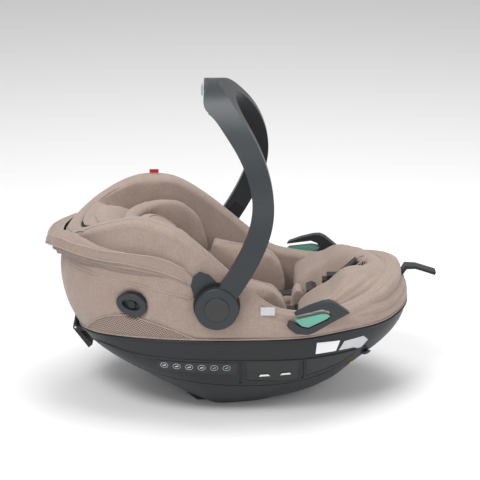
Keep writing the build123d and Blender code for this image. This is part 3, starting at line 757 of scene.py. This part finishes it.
def skin_point(x, height, side, lift=0.0):
    """A point on the cover's outer wall."""
    turn = turn_at(x, height)
    point = hull(turn, height)
    foot, top = rim_at(point.x), wing_at(point.x)
    share = (height - foot) / max(top - SOFT_HEIGHT - foot, 1)
    out = cover_bulge(point, min(max(share, 0.0), 1.0))
    point = hull(turn, height, -out - lift)
    return Vector((point.x, side * point.y, point.z))


LINING_REAR, LINING_LENGTH = -304, 112
LINING_LEVEL, LINING_INSET = 322, 26      # where the lining meets the wings' inner walls


def make_head_lining():
    """Cloth over the foam behind the head, from the rolled edge down to the backrest."""
    rows = []
    for j in range(21):
        x = LINING_REAR + LINING_LENGTH * j / 20
        side = hull(turn_at(x, LINING_LEVEL, LINING_INSET), LINING_LEVEL, LINING_INSET).y
        foam_top = min(wing_at(x) - 7, seat_at(x))
        across = [side * (2 * k / 48 - 1) for k in range(49)]
        rows.append([Vector((x, y, foam_top + 4 + ripple((x, y, 0), 45, 1.2))) for y in across])
    pad(with_thickness(sheet_piece("head_lining", rows, "knit"), 3.0), "seat")


VENT_TOP = line_through([(-276, 152), (-267, 166), (-251, 182), (-238, 190), (-225, 195), (-196, 199),
                         (-167, 193), (-125, 180), (-83, 162), (-76, 160)])
VENT_FROM, VENT_LENGTH = -276, 198


def vent_rows(places, side):
    rows = []
    for j in range(13):
        row = []
        for x in places:
            foot = rim_at(x) + 2.0
            height = foot + (max(VENT_TOP(x), foot + 0.5) - foot) * j / 12
            row.append(skin_point(x, height, side, 0.8))
        rows.append(row)
    return rows


def make_vents():
    """Open mesh panels at the rear of both sides, with a raised seam along the top."""
    places = [VENT_FROM + VENT_LENGTH * k / 69 for k in range(70)]
    for word, side in SIDES:
        place(sheet_piece("vent_panel_" + word, vent_rows(places, side), "mesh"), "seat")
        seam = [skin_point(x, VENT_TOP(x), side, 1.0) for x in places]
        sewn("vent_seam_" + word, seam, 1.5, "knit")
        stitched("vent_stitches_" + word, [point + Vector((0, 0, 4.5)) for point in seam])


# The long seam that runs forward from the head end, under the canopy, to the hub.
BODY_SEAM = line_through([(-320, 268), (-284, 268), (-240, 264), (-190, 259), (-150, 252), (-110, 244),
                          (-75, 235)])
BODY_SEAM_SPAN = (-306, -84, 4)


def make_body_seams():
    for word, side in SIDES:
        places = range(*BODY_SEAM_SPAN)
        path = [skin_point(x, BODY_SEAM(x), side, 0.2) for x in places]
        sewn("body_seam_" + word, path, 1.1)
        below = [skin_point(x, BODY_SEAM(x) - 5, side, 0.2) for x in places]
        stitched("body_stitches_" + word, below)


# ---- leg cover at the foot end ----
LEG_REAR, LEG_TURN, LEG_INSET, LEG_LEVEL = 106.0, math.radians(66), 17.0, 226
# heights of the leg cover over X, in the middle and beside the slot
LEG_CENTRE = line_through([(96, 128), (116, 142), (140, 160), (155, 173), (172, 185), (186, 194),
                           (203, 214), (217, 231), (226, 240), (240, 254), (254, 263), (268, 262),
                           (282, 253), (300, 230)])
LEG_SIDE = line_through([(96, 158), (112, 186), (137, 206), (160, 220), (171, 231), (182, 242), (195, 250),
                         (214, 257), (232, 260), (251, 258), (270, 252), (285, 240), (300, 228)])
SLOT_LINE = [(150, 2.0), (162, 5.0), (176, 9.5), (194, 13.0), (212, 13.5), (224, 9.5), (231, 2.5)]
slot_half = line_through(SLOT_LINE)
SLOT_FROM, SLOT_TO = SLOT_LINE[0][0], SLOT_LINE[-1][0]


LEG_CREASES = ((0.72, 3.4, 0.045), (0.84, 2.6, 0.035))     # place across the cover, depth and width


def leg_height(x, y, edge):
    """Height of the leg cover; edge is 0 in the middle and 1 where it meets the rolled rim."""
    aside = soften(abs(y) / 52)
    crown = LEG_CENTRE(x) * (1 - aside) + LEG_SIDE(x) * aside
    rim = wing_at(x) - 6
    fall = max(edge, 0.0) ** 4.5
    height = crown * (1 - fall) + rim * fall
    for waist, depth, width in LEG_CREASES:
        crease = waist + 0.05 * math.sin(x / 19 + abs(y) / 30)
        height -= depth * math.exp(-((edge - crease) / width) ** 2) * soften((abs(y) - 45) / 30)
    height += ripple((x, y, 0), 34, 1.6) + ripple((x, y, 40), 15, 0.5)
    if SLOT_FROM < x < SLOT_TO:
        lip = abs(y) - slot_half(x)
        if lip < 0:
            height -= 17 * soften(min(-lip / 3.0, 1))
        else:
            height += 2.2 * math.exp(-(lip / 9) ** 2)
    return height


def leg_rim(turn):
    """Where the leg cover meets the rolled rim, in plan."""
    return egg(turn, rear_at(LEG_LEVEL) + LEG_INSET, front_at(LEG_LEVEL) - LEG_INSET,
               half_at(LEG_LEVEL) - LEG_INSET)


def leg_spot(share, across):
    """Plan place and edge value of a point of the leg cover, from the seat forward and right to left."""
    u = 2 * across - 1
    front_x, front_y = leg_rim(LEG_TURN * u)
    rear_y = leg_rim(LEG_TURN)[1] * u
    ease = share ** (0.9 + 0.3 * (1 - abs(u)))
    x = LEG_REAR + (front_x - LEG_REAR) * ease
    y = rear_y + (front_y - rear_y) * ease
    return x, y, max(share, abs(u) ** 2.2 * 0.98 if share > 0 else 0)


def on_leg(x, y, lift):
    return Vector((x, y, leg_height(x, y, 0) + lift))


def slot_places(count):
    return [SLOT_FROM + (SLOT_TO - SLOT_FROM) * k / count for k in range(count + 1)]


def make_leg_cover():
    spots = grid(96, 132, leg_spot)
    surface = [[Vector((x, y, leg_height(x, y, edge))) for x, y, edge in row] for row in spots]
    skirt = [Vector((point.x + 0.5, point.y, point.z - 14)) for point in surface[-1]]
    tuck = [Vector((point.x - 2, point.y, point.z - 26)) for point in surface[0]]
    cover = sheet_piece("leg_pad", [tuck] + surface + [skirt], "knit")
    cover.data.materials.append(LOOKS["black_cloth"])
    for polygon in cover.data.polygons:
        middle = polygon.center / MM
        if SLOT_FROM < middle.x < SLOT_TO and abs(middle.y) < slot_half(middle.x) - 1.2:
            polygon.material_index = 1
    pad(cover, "seat", ("leg_cover",))
    make_slot_trim()
    make_leg_seams()


def make_slot_trim():
    """Piping round the belt slot, running on down to the seat as a closed seam, and stitches beside it."""
    edge = [(x, slot_half(x) + 2.0) for x in slot_places(40)]
    left = [on_leg(x, y, 0.6) for x, y in edge]
    right = [on_leg(x, -y, 0.6) for x, y in edge]
    tail = [on_leg(x, 0.9, 0.5) for x in range(114, int(SLOT_FROM), 5)]
    sewn("slot_piping", tail + left + right[::-1] + [mirrored(point) for point in tail[::-1]])
    beside = [(x - 2, slot_half(x) + 8.0) for x in slot_places(30)]
    for word, side in SIDES[::-1]:
        stitched("slot_stitches_" + word, [on_leg(x, side * y, 0.3) for x, y in beside])


def make_leg_seams():
    """Piping on both flanks, where the leg cover is sewn to the rolled rim."""
    for word, side in SIDES:
        path = []
        for k in range(60):
            x, y = leg_rim(side * (LEG_TURN - (LEG_TURN - math.radians(7)) * k / 59))
            path.append(Vector((x + 0.4, y, leg_height(x, y, 0.985) + 1.0)))
        sewn("leg_seam_" + word, path, 1.4)


# ---- folded canopy ----
CANOPY_REAR, CANOPY_HALF, CANOPY_FRONT = -349.0, 196.0, 262.0
BAND_LOW = line_through([(-370, 301), (-300, 298), (-246, 294), (-193, 292), (-141, 282), (-106, 269),
                         (-81, 252), (-66, 240)])
BAND_HIGH = line_through([(-370, 321), (-300, 319), (-246, 316), (-193, 316), (-141, 311), (-100, 293),
                          (-80, 275), (-66, 262)])
FOLD_DROP = 8.0           # how far each lower fold shows under the one above
CANOPY_TURN = math.radians(94)          # where the canopy ends, as a turn about the hub


def canopy_sag(x, y):
    """The folded canopy hangs lower behind the head and on the child's left."""
    return 24 * soften((-205 - x) / 90) * soften((y + 110) / 120)


def canopy_point(turn, height, reach):
    x, y = egg(turn, CANOPY_REAR + reach, CANOPY_FRONT, CANOPY_HALF - reach / 6)
    return Vector((x, y, height - canopy_sag(x, y)))


def canopy_turn(share):
    """The turn of a point from one end of the canopy, 0, to the other, 1."""
    return CANOPY_TURN + (2 * math.pi - 2 * CANOPY_TURN) * share


def fold_rows(low, high, reach, thickness, seed, unevenness=0.0, columns=200, around=26):
    """A horseshoe of puffy folded cloth: each row is one closed cross-section."""
    rows = []
    for k in range(columns + 1):
        turn = canopy_turn(k / columns)
        base = canopy_point(turn, 0, reach)
        bottom, top = low(base.x), high(base.x)
        end = soften((-66 - base.x) / 60)
        half_height = (top - bottom) / 2 * (0.55 + 0.45 * end)
        middle = (top + bottom) / 2 + ripple((turn * 150, seed * 70, 0), 60, unevenness)
        plump = thickness * (0.5 + 0.5 * end)
        row = []
        for angle in full_turn(around):
            lift = half_height * bowed(math.sin(angle), 0.8)
            out = plump * bowed(math.cos(angle), 0.9)
            if out > 0:
                out += 1.5 * math.sin(2.2 * math.pi * (lift / (half_height * 2) + 0.5) + seed) * end
                out += ripple((turn * 320, lift * 2.2, seed * 30), 46, 2.4) * end
                out += ripple((turn * 320, lift * 4, seed * 50), 17, 0.7)
            sway = ripple((turn * 260, 0, seed * 11), 90, 2.2) * end
            row.append(canopy_point(turn, middle + lift + sway, reach - out + 4))
        rows.append(row)
    return rows


def band_path(line, reach, lift, start=0.02, stop=0.98, count=160):
    """A line round the canopy, just short of both its ends."""
    path = []
    for k in range(count + 1):
        turn = canopy_turn(start + (stop - start) * k / count)
        base = canopy_point(turn, 0, reach)
        path.append(canopy_point(turn, line(base.x) + lift, reach))
    return path


def gore_rows(low, high, reach, columns):
    """Pleated cloth between two folds."""
    rows = []
    for j in range(PLEATS):
        row = []
        for k in range(columns + 1):
            turn = canopy_turn(0.04 + 0.92 * k / columns)
            base = canopy_point(turn, 0, reach)
            bottom, top = low(base.x), high(base.x)
            height = bottom + (top - bottom) * j / (PLEATS - 1)
            inward = reach + (4.5 if j % 2 else 0.0) + ripple((turn * 300, j * 9, 0), 30, 1.5)
            row.append(canopy_point(turn, height, inward))
        rows.append(row)
    return rows


# lower edges of the two folds that show under the band
def middle_low(x):
    return BAND_LOW(x) - FOLD_DROP * (0.25 + 0.75 * soften((-66 - x) / 150))


def lower_low(x):
    return BAND_LOW(x) - 2 * FOLD_DROP * (0.15 + 0.85 * soften((-66 - x) / 150))


def make_fold(name, body, node, low, high, look, *puffs):
    """One puffy fold of the canopy, in place of its plain solid."""
    fold = sheet_piece(name, fold_rows(low, high, *puffs), look, around=True, caps=True)
    pad(fold, body, (node,))


def make_canopy():
    make_fold("canopy_band", "canopy_front", "canopy_front_fold", BAND_LOW, BAND_HIGH, "weave", -3, 5.0, 0.0)
    make_fold("canopy_pleat_middle", "canopy_middle", "canopy_middle_fold", middle_low,
              lambda x: middle_low(x) + 13, "weave", 7, 4.2, 1.7, 2.5)
    # the lowest fold takes the darker weave, painted shade under the folds above it
    make_fold("canopy_pleat_lower", "seat", "canopy_lower_fold", lower_low,
              lambda x: lower_low(x) + 12, "weave_painted_shade", 13, 4.2, 3.1, 3.5)
    for name, line, reach, lift in (("band_hem_top", BAND_HIGH, -1, -1.0),
                                    ("band_hem_low", BAND_LOW, -5.4, 4.0)):
        sewn(name, band_path(line, reach, lift), 1.0, body="canopy_front")
    make_gores()
    make_rear_panel()


PLEATS = 7                # rows of cloth between two folds
GORE_PANELS = 14          # sewn panels from one side of the canopy round to the other
PANEL_COLUMNS = 12
PANEL_LAP = 2             # columns by which neighbouring panels overlap at their seam


def make_gores():
    """Pleated cloth panels that join the folds."""
    spots = (("canopy_gore_lower", "seat", "canopy_middle", lower_low, middle_low, 14),
             ("canopy_gore_upper", "canopy_middle", "canopy_front", middle_low, BAND_LOW, 9))
    columns = GORE_PANELS * PANEL_COLUMNS
    for name, below, above, low, high, reach in spots:
        layers = [gore_rows(lambda x: low(x) + 7, lambda x: high(x) + 7, reach + inset, columns)
                  for inset in (0.0, 1.2)]
        for k in range(GORE_PANELS):
            first = max(0, k * PANEL_COLUMNS - PANEL_LAP)
            last = min(columns, (k + 1) * PANEL_COLUMNS + PANEL_LAP)
            make_gore_panel(f"{name}_{k:02d}", [row[first:last + 1] for row in layers[k % 2]], below, above)


def make_gore_panel(name, rows, below, above):
    """One panel of pleated cloth, given its thickness; the bodies below and above are not used."""
    # the darker weave here is painted shade in the recess between two folds
    gore = sheet_piece(name, rows, "weave_painted_shade")
    gore = with_thickness(gore, 0.8)
    middle = len(rows[0]) // 2
    start = rows[0][middle]
    along = (rows[0][middle + 2] - rows[0][middle - 2]).normalized()
    rise = rows[-1][middle] - start
    rise -= along * rise.dot(along)
    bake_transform(gore)


HOOD_DEPTH, HOOD_RISE, HOOD_WIDTH = 26.0, 12.0, 0.46
HOOD_SPREAD = math.radians(58)


def hood_point(share, across):
    """A point of the hood panel, from the band inwards and from side to side."""
    turn = math.pi + HOOD_SPREAD * (2 * across - 1)
    base = canopy_point(turn, 0, 3)
    inward = 1 + HOOD_DEPTH * share + 1.5 * math.sin(share * 7 + turn * 3)
    fall = soften((HOOD_SPREAD - abs(turn - math.pi)) / math.radians(34))
    rise = HOOD_RISE * math.sin(share * math.pi * 0.62) + ripple((turn * 300, share * 40, 9), 34, 2.5)
    return canopy_point(turn, BAND_HIGH(base.x) - 4 + rise * fall, inward)


def make_rear_panel():
    """The gathered cloth at the head end that rises from the band towards the wings."""
    rows = grid(14, 90, hood_point)
    panel = sheet_piece("canopy_hood_rear", rows, "weave")
    panel = with_thickness(panel, 1.2)
    place(panel, "canopy_front", ("canopy_rear_panel",))
    sewn("hood_binding", rows[-1], 1.6, body="canopy_front")


# ---- headrest and pads ----
RECLINE = math.atan2(335.0 - 132.0, 30.0 + 275.0)
HEAD_ORIGIN = Vector((-155.0, 0.0, 274.0))
HEAD_UP = Vector((-math.cos(RECLINE), 0, math.sin(RECLINE)))
HEAD_OUT = Vector((math.sin(RECLINE), 0, math.cos(RECLINE)))
HEAD_BEND = 12.0          # where the side wings turn into the closed head end
WALL_HALF = 12.5          # half the thickness of the headrest's padded wall
WALL_START = -104         # the shoulder end of the wall, along the headrest's back
WING_SEAM_ROW = 50        # the section of the wall that its side seams follow
BACK_START, BACK_LENGTH, BACK_SWELL = -106, 170, 13
PILLOW_LONG, PILLOW_HALF = 46, 50
# height of the padded wall over the headrest's back, from the shoulders to the head end
WALL_TOP = line_through([(-104, 18), (-85, 38), (-68, 51), (-52, 63), (-30, 69), (-6, 70), (18, 60), (36, 47),
                         (53, 31), (65, 19), (80, 15)])


def head_point(along_back, aside, out):
    """A point over the headrest's back, from its distances towards the head, the left and the child."""
    return HEAD_ORIGIN + HEAD_UP * along_back + HEAD_OUT * out + Vector((0, aside, 0))


def wall_middle(along_back):
    """Half the distance between the middles of the two side wings."""
    return 104 - 28 * (along_back + 75) / 150 - WALL_HALF


def headrest_path():
    """Centre line of the padded wall: up the right wing, round the head end and down the left one."""
    wing = [WALL_START + (HEAD_BEND - WALL_START) * k / 40 for k in range(40)]
    right = [(s, -wall_middle(s)) for s in wing]
    angles = [math.pi * (k / 48 - 0.5) for k in range(49)]
    bend = [(HEAD_BEND + 50 * math.cos(angle), wall_middle(HEAD_BEND) * power(math.sin(angle)))
            for angle in angles]
    return right + bend + [(s, -y) for s, y in reversed(right)]


def wall_rows():
    path = headrest_path()
    rows = []
    for k, (s, y) in enumerate(path):
        before, after = path[max(k - 1, 0)], path[min(k + 1, len(path) - 1)]
        across = Vector((after[1] - before[1], before[0] - after[0])).normalized()
        end = soften((s + 112) / 34)
        top, foot = WALL_TOP(s), 3.0
        row = []
        for angle in full_turn(28):
            spread = WALL_HALF * (0.35 + 0.65 * end) * bowed(math.cos(angle), 0.75)
            lift = (top - foot) / 2 * bowed(math.sin(angle), 0.8)
            spread += ripple((s, y, lift), 30, 1.2)
            row.append(head_point(s + across.x * spread, y + across.y * spread,
                                  (top + foot) / 2 + lift + ripple((s, y, 9), 40, 1.6)))
        rows.append(row)
    return rows


def make_headrest():
    rows = wall_rows()
    wall = sheet_piece("headrest_pad", rows, "knit", around=True, caps=True)
    pad(wall, "headrest", ("headrest_cushion",))
    # a seam over the wall on both sides, where the wings meet the head end
    for word, row in (("right", rows[WING_SEAM_ROW]), ("left", rows[-1 - WING_SEAM_ROW])):
        middle = sum(row, Vector()) / len(row)
        sewn("headrest_seam_" + word, [middle + (point - middle) * 1.01 for point in row[:15]], 0.9,
             body="headrest")
    # the padded back between the wings
    rows = []
    for j in range(23):
        s = BACK_START + BACK_LENGTH * j / 22
        half = wall_middle(s) * math.sqrt(max(1 - max((s - HEAD_BEND) / 62, 0) ** 2, 0.05))
        swell = BACK_SWELL * math.sin(math.pi * (0.06 + 0.88 * j / 22)) ** 0.4
        shares = [2 * i / 28 - 1 for i in range(29)]
        top = [head_point(s, half * u, 7 + swell * (1 - abs(u) ** 3) + ripple((s, half * u, 3), 28, 1.2))
               for u in shares]
        rows.append(top + [head_point(s, half * u, 5.5) for u in shares[::-1]])
    pad(sheet_piece("headrest_back", rows, "knit", around=True, caps=True), "headrest")
    make_head_pillow()


def smooth_path(path, passes):
    for _ in range(passes):
        path = [path[0]] + [(a + b * 2 + c) / 4 for a, b, c in zip(path, path[1:], path[2:])] + [path[-1]]
    return path


def make_head_pillow():
    """The inner pillow of the headrest: a thick horseshoe lying against its back and wings."""
    rows = []
    for k in range(73):
        angle = math.pi * 1.24 * (k / 72 - 0.5)
        s, y = -12 + PILLOW_LONG * math.cos(angle), PILLOW_HALF * math.sin(angle)
        centre = head_point(s, y, 19 + 6 * abs(math.sin(angle)))
        ahead = Vector((0, PILLOW_HALF * math.cos(angle), 0)) - HEAD_UP * (PILLOW_LONG * math.sin(angle))
        ahead.normalize()
        side = ahead.cross(HEAD_OUT).normalized()
        fat = 0.35 + 0.65 * max(math.sin(math.pi * k / 72), 0.0) ** 0.35
        rows.append([centre + fat * (17 * math.cos(turn) * side + 13 * math.sin(turn) * HEAD_OUT)
                     + HEAD_OUT * ripple(centre, 30, 1.0) for turn in full_turn(22)])
    pad(sheet_piece("head_pillow", rows, "knit_pale", around=True, caps=True), "headrest")
    sewn("pillow_piping", [row[6] + HEAD_OUT * 0.5 for row in rows[3:-3]], 1.1, body="headrest")


def make_seat_pads():
    seat = stuffed("seat_cushion", "seat_pad", "knit", shrink=1.0, voxel=5.5, cap=6.0, smooth=6)
    pad(seat, "seat", ("seat_pad",))
    for word, side in SIDES:
        bolster = stuffed("hip_pad_" + word, "hip_bolster_" + word, "knit", shrink=1.5, cap=9.0, smooth=16)
        pad(bolster, "seat", ("hip_bolster_" + word,))
        # piping on the edge that faces the child
        centre = centre_of(bolster) - Vector((0, side * 4, 0))
        edge = girdle(surface_of(bolster), centre, (0, 1, 0), 90)
        sewn("hip_piping_" + word, smooth_path(edge, 4), closed=True)
        wrap = stuffed("shoulder_wrap_" + word, "shoulder_pad_" + word, "knit_pale", shrink=0.8, voxel=3.5,
                       cap=5.0, smooth=5)
        pad(wrap, "seat", ("shoulder_pad_" + word,))
        rim = girdle(surface_of(wrap), centre_of(wrap), HEAD_OUT, 80)
        sewn("shoulder_piping_" + word, rim, 1.2, closed=True)
    crotch = stuffed("crotch_cushion", "crotch_pad", "knit", shrink=1.0, voxel=3.5, cap=5.0, smooth=6)
    pad(crotch, "seat", ("crotch_pad",))


def centre_of(piece):
    points = [vertex.co for vertex in piece.data.vertices]
    return sum(points, Vector()) / len(points) / MM


# ---- trim on the lower shell ----
COLLAR_EDGE = line_through([(-290, 108), (-253, 128), (-198, 123), (-144, 120), (-73, 119), (-2, 118),
                            (104, 114), (158, 115), (204, 117), (230, 119)])
COLLAR_FROM, COLLAR_LENGTH = -286, 511


def shell_point(x, height, lift, side=-1):
    """A point on the lower shell, or a little outside it; on the child's right unless told."""
    point = hull(turn_at(x, height), height, -lift)
    return Vector((point.x, side * point.y, point.z))


def shell_patch(name, corners, look, lift, thickness, across, up):
    """A thin plate that follows the shell on the child's right, between four side-view corners."""
    (x0, z0), (x1, z1), (x2, z2), (x3, z3) = corners

    def point(v, u):
        x = (x0 * (1 - u) + x1 * u) * (1 - v) + (x3 * (1 - u) + x2 * u) * v
        z = (z0 * (1 - u) + z1 * u) * (1 - v) + (z3 * (1 - u) + z2 * u) * v
        return shell_point(x, z, lift)

    rows = grid(up, across, point)
    place(with_thickness(sheet_piece(name, rows, look), thickness, 0.0), "seat")


def make_shell_trim():
    # the rim that the cover tucks behind, and the seam over the runner
    for name, line, lift, drop, radius in (("shell_rim_bead", rim_at, -0.6, -3.4, 2.6),
                                           ("runner_seam_bead", seam_at, -0.9, 3.0, 1.5)):
        path = [along(turn, line, -lift) + Vector((0, 0, drop)) for turn in full_turn(TURNS)]
        sewn(name, path, radius, "shell", closed=True)
    # the step under the shell's upper band
    places = [COLLAR_FROM + COLLAR_LENGTH * k / 128 for k in range(129)]
    for word, side in SIDES:
        path = [shell_point(x, COLLAR_EDGE(x), 0.3, side) for x in places]
        sewn("collar_step_" + word, path, 1.7, "shell")
    # two pale dashes on the dark window
    for k, x in enumerate((31, 69)):
        shell_patch(f"window_dash_{k}", [(x, 82), (x + 20, 82), (x + 17, 86), (x + 3, 86)], "paper",
                    1.0, 0.6, 6, 2)
    make_guide_strip()
    shell_patch("round_sticker", [(197, 68), (206, 72), (205, 80), (197, 77)], "yellow",
                0.6, 0.4, 4, 3)


def make_guide_strip():
    """A blank printed strip with plain pictogram shapes."""
    shell_patch("guide_strip", [(-150, 96), (-8, 88), (-6, 114), (-148, 116)], "window",
                0.3, 0.5, 40, 8)
    for k in range(6):
        x = -136 + 22 * k
        z = 106 - 0.02 * (x + 136)
        ring = [shell_point(x + 6.5 * math.cos(angle), z + 5.5 * math.sin(angle), 1.1)
                for angle in full_turn(28)]
        sewn(f"pictogram_ring_{k}", ring, 0.4, "silver", closed=True)
        shell_patch(f"pictogram_bar_{k}", [(x - 3, z - 2), (x + 3, z - 1), (x + 3, z + 2), (x - 3, z)],
                    "mint" if k > 3 else "silver", 1.1, 0.5, 3, 2)


KNOB_X, KNOB_Z = 223, 100
LOOP_MIDDLE = Vector((-287, -92, 325))


def make_socket_cups():
    """The dark hollow behind each oval bezel."""
    rings = ((1.0, 1.5), (0.97, -3.0), (0.9, -8.0), (0.5, -9.5), (0.02, -9.5))
    for word, side in SIDES:
        rows = [[shell_point(SOCKET.x + 20 * size * math.cos(angle), SOCKET.z + 13.5 * size * math.sin(angle),
                             lift, side) for angle in full_turn(36)] for size, lift in rings]
        cup = with_thickness(sheet_piece("socket_cup_" + word, rows, "black", around=True), 0.8)
        place(cup, "seat")


def make_small_parts():
    # round knob under the foot end
    rings = ((0.1, 8.5), (5.0, 8.3), (6.6, 7.0), (7.0, 4.5), (7.0, -2.0))
    rows = [[shell_point(KNOB_X + radius * math.cos(angle), KNOB_Z + radius * math.sin(angle), out)
             for angle in full_turn(28)] for radius, out in rings]
    place(sheet_piece("front_knob", rows, "black", around=True), "seat")
    # elastic loop at the rear end of the right wing
    loop = [LOOP_MIDDLE + Vector((11 * math.cos(angle), 3 * math.sin(2 * angle), 4 * math.sin(angle)))
            for angle in full_turn(30)]
    sewn("elastic_loop", loop, 1.5, closed=True)


make_camera()
make_studio()
paint_cad()
round_edges()
make_cover()
make_head_lining()
make_vents()
make_body_seams()
make_leg_cover()
make_canopy()
make_headrest()
make_seat_pads()
make_shell_trim()
make_socket_cups()
make_small_parts()
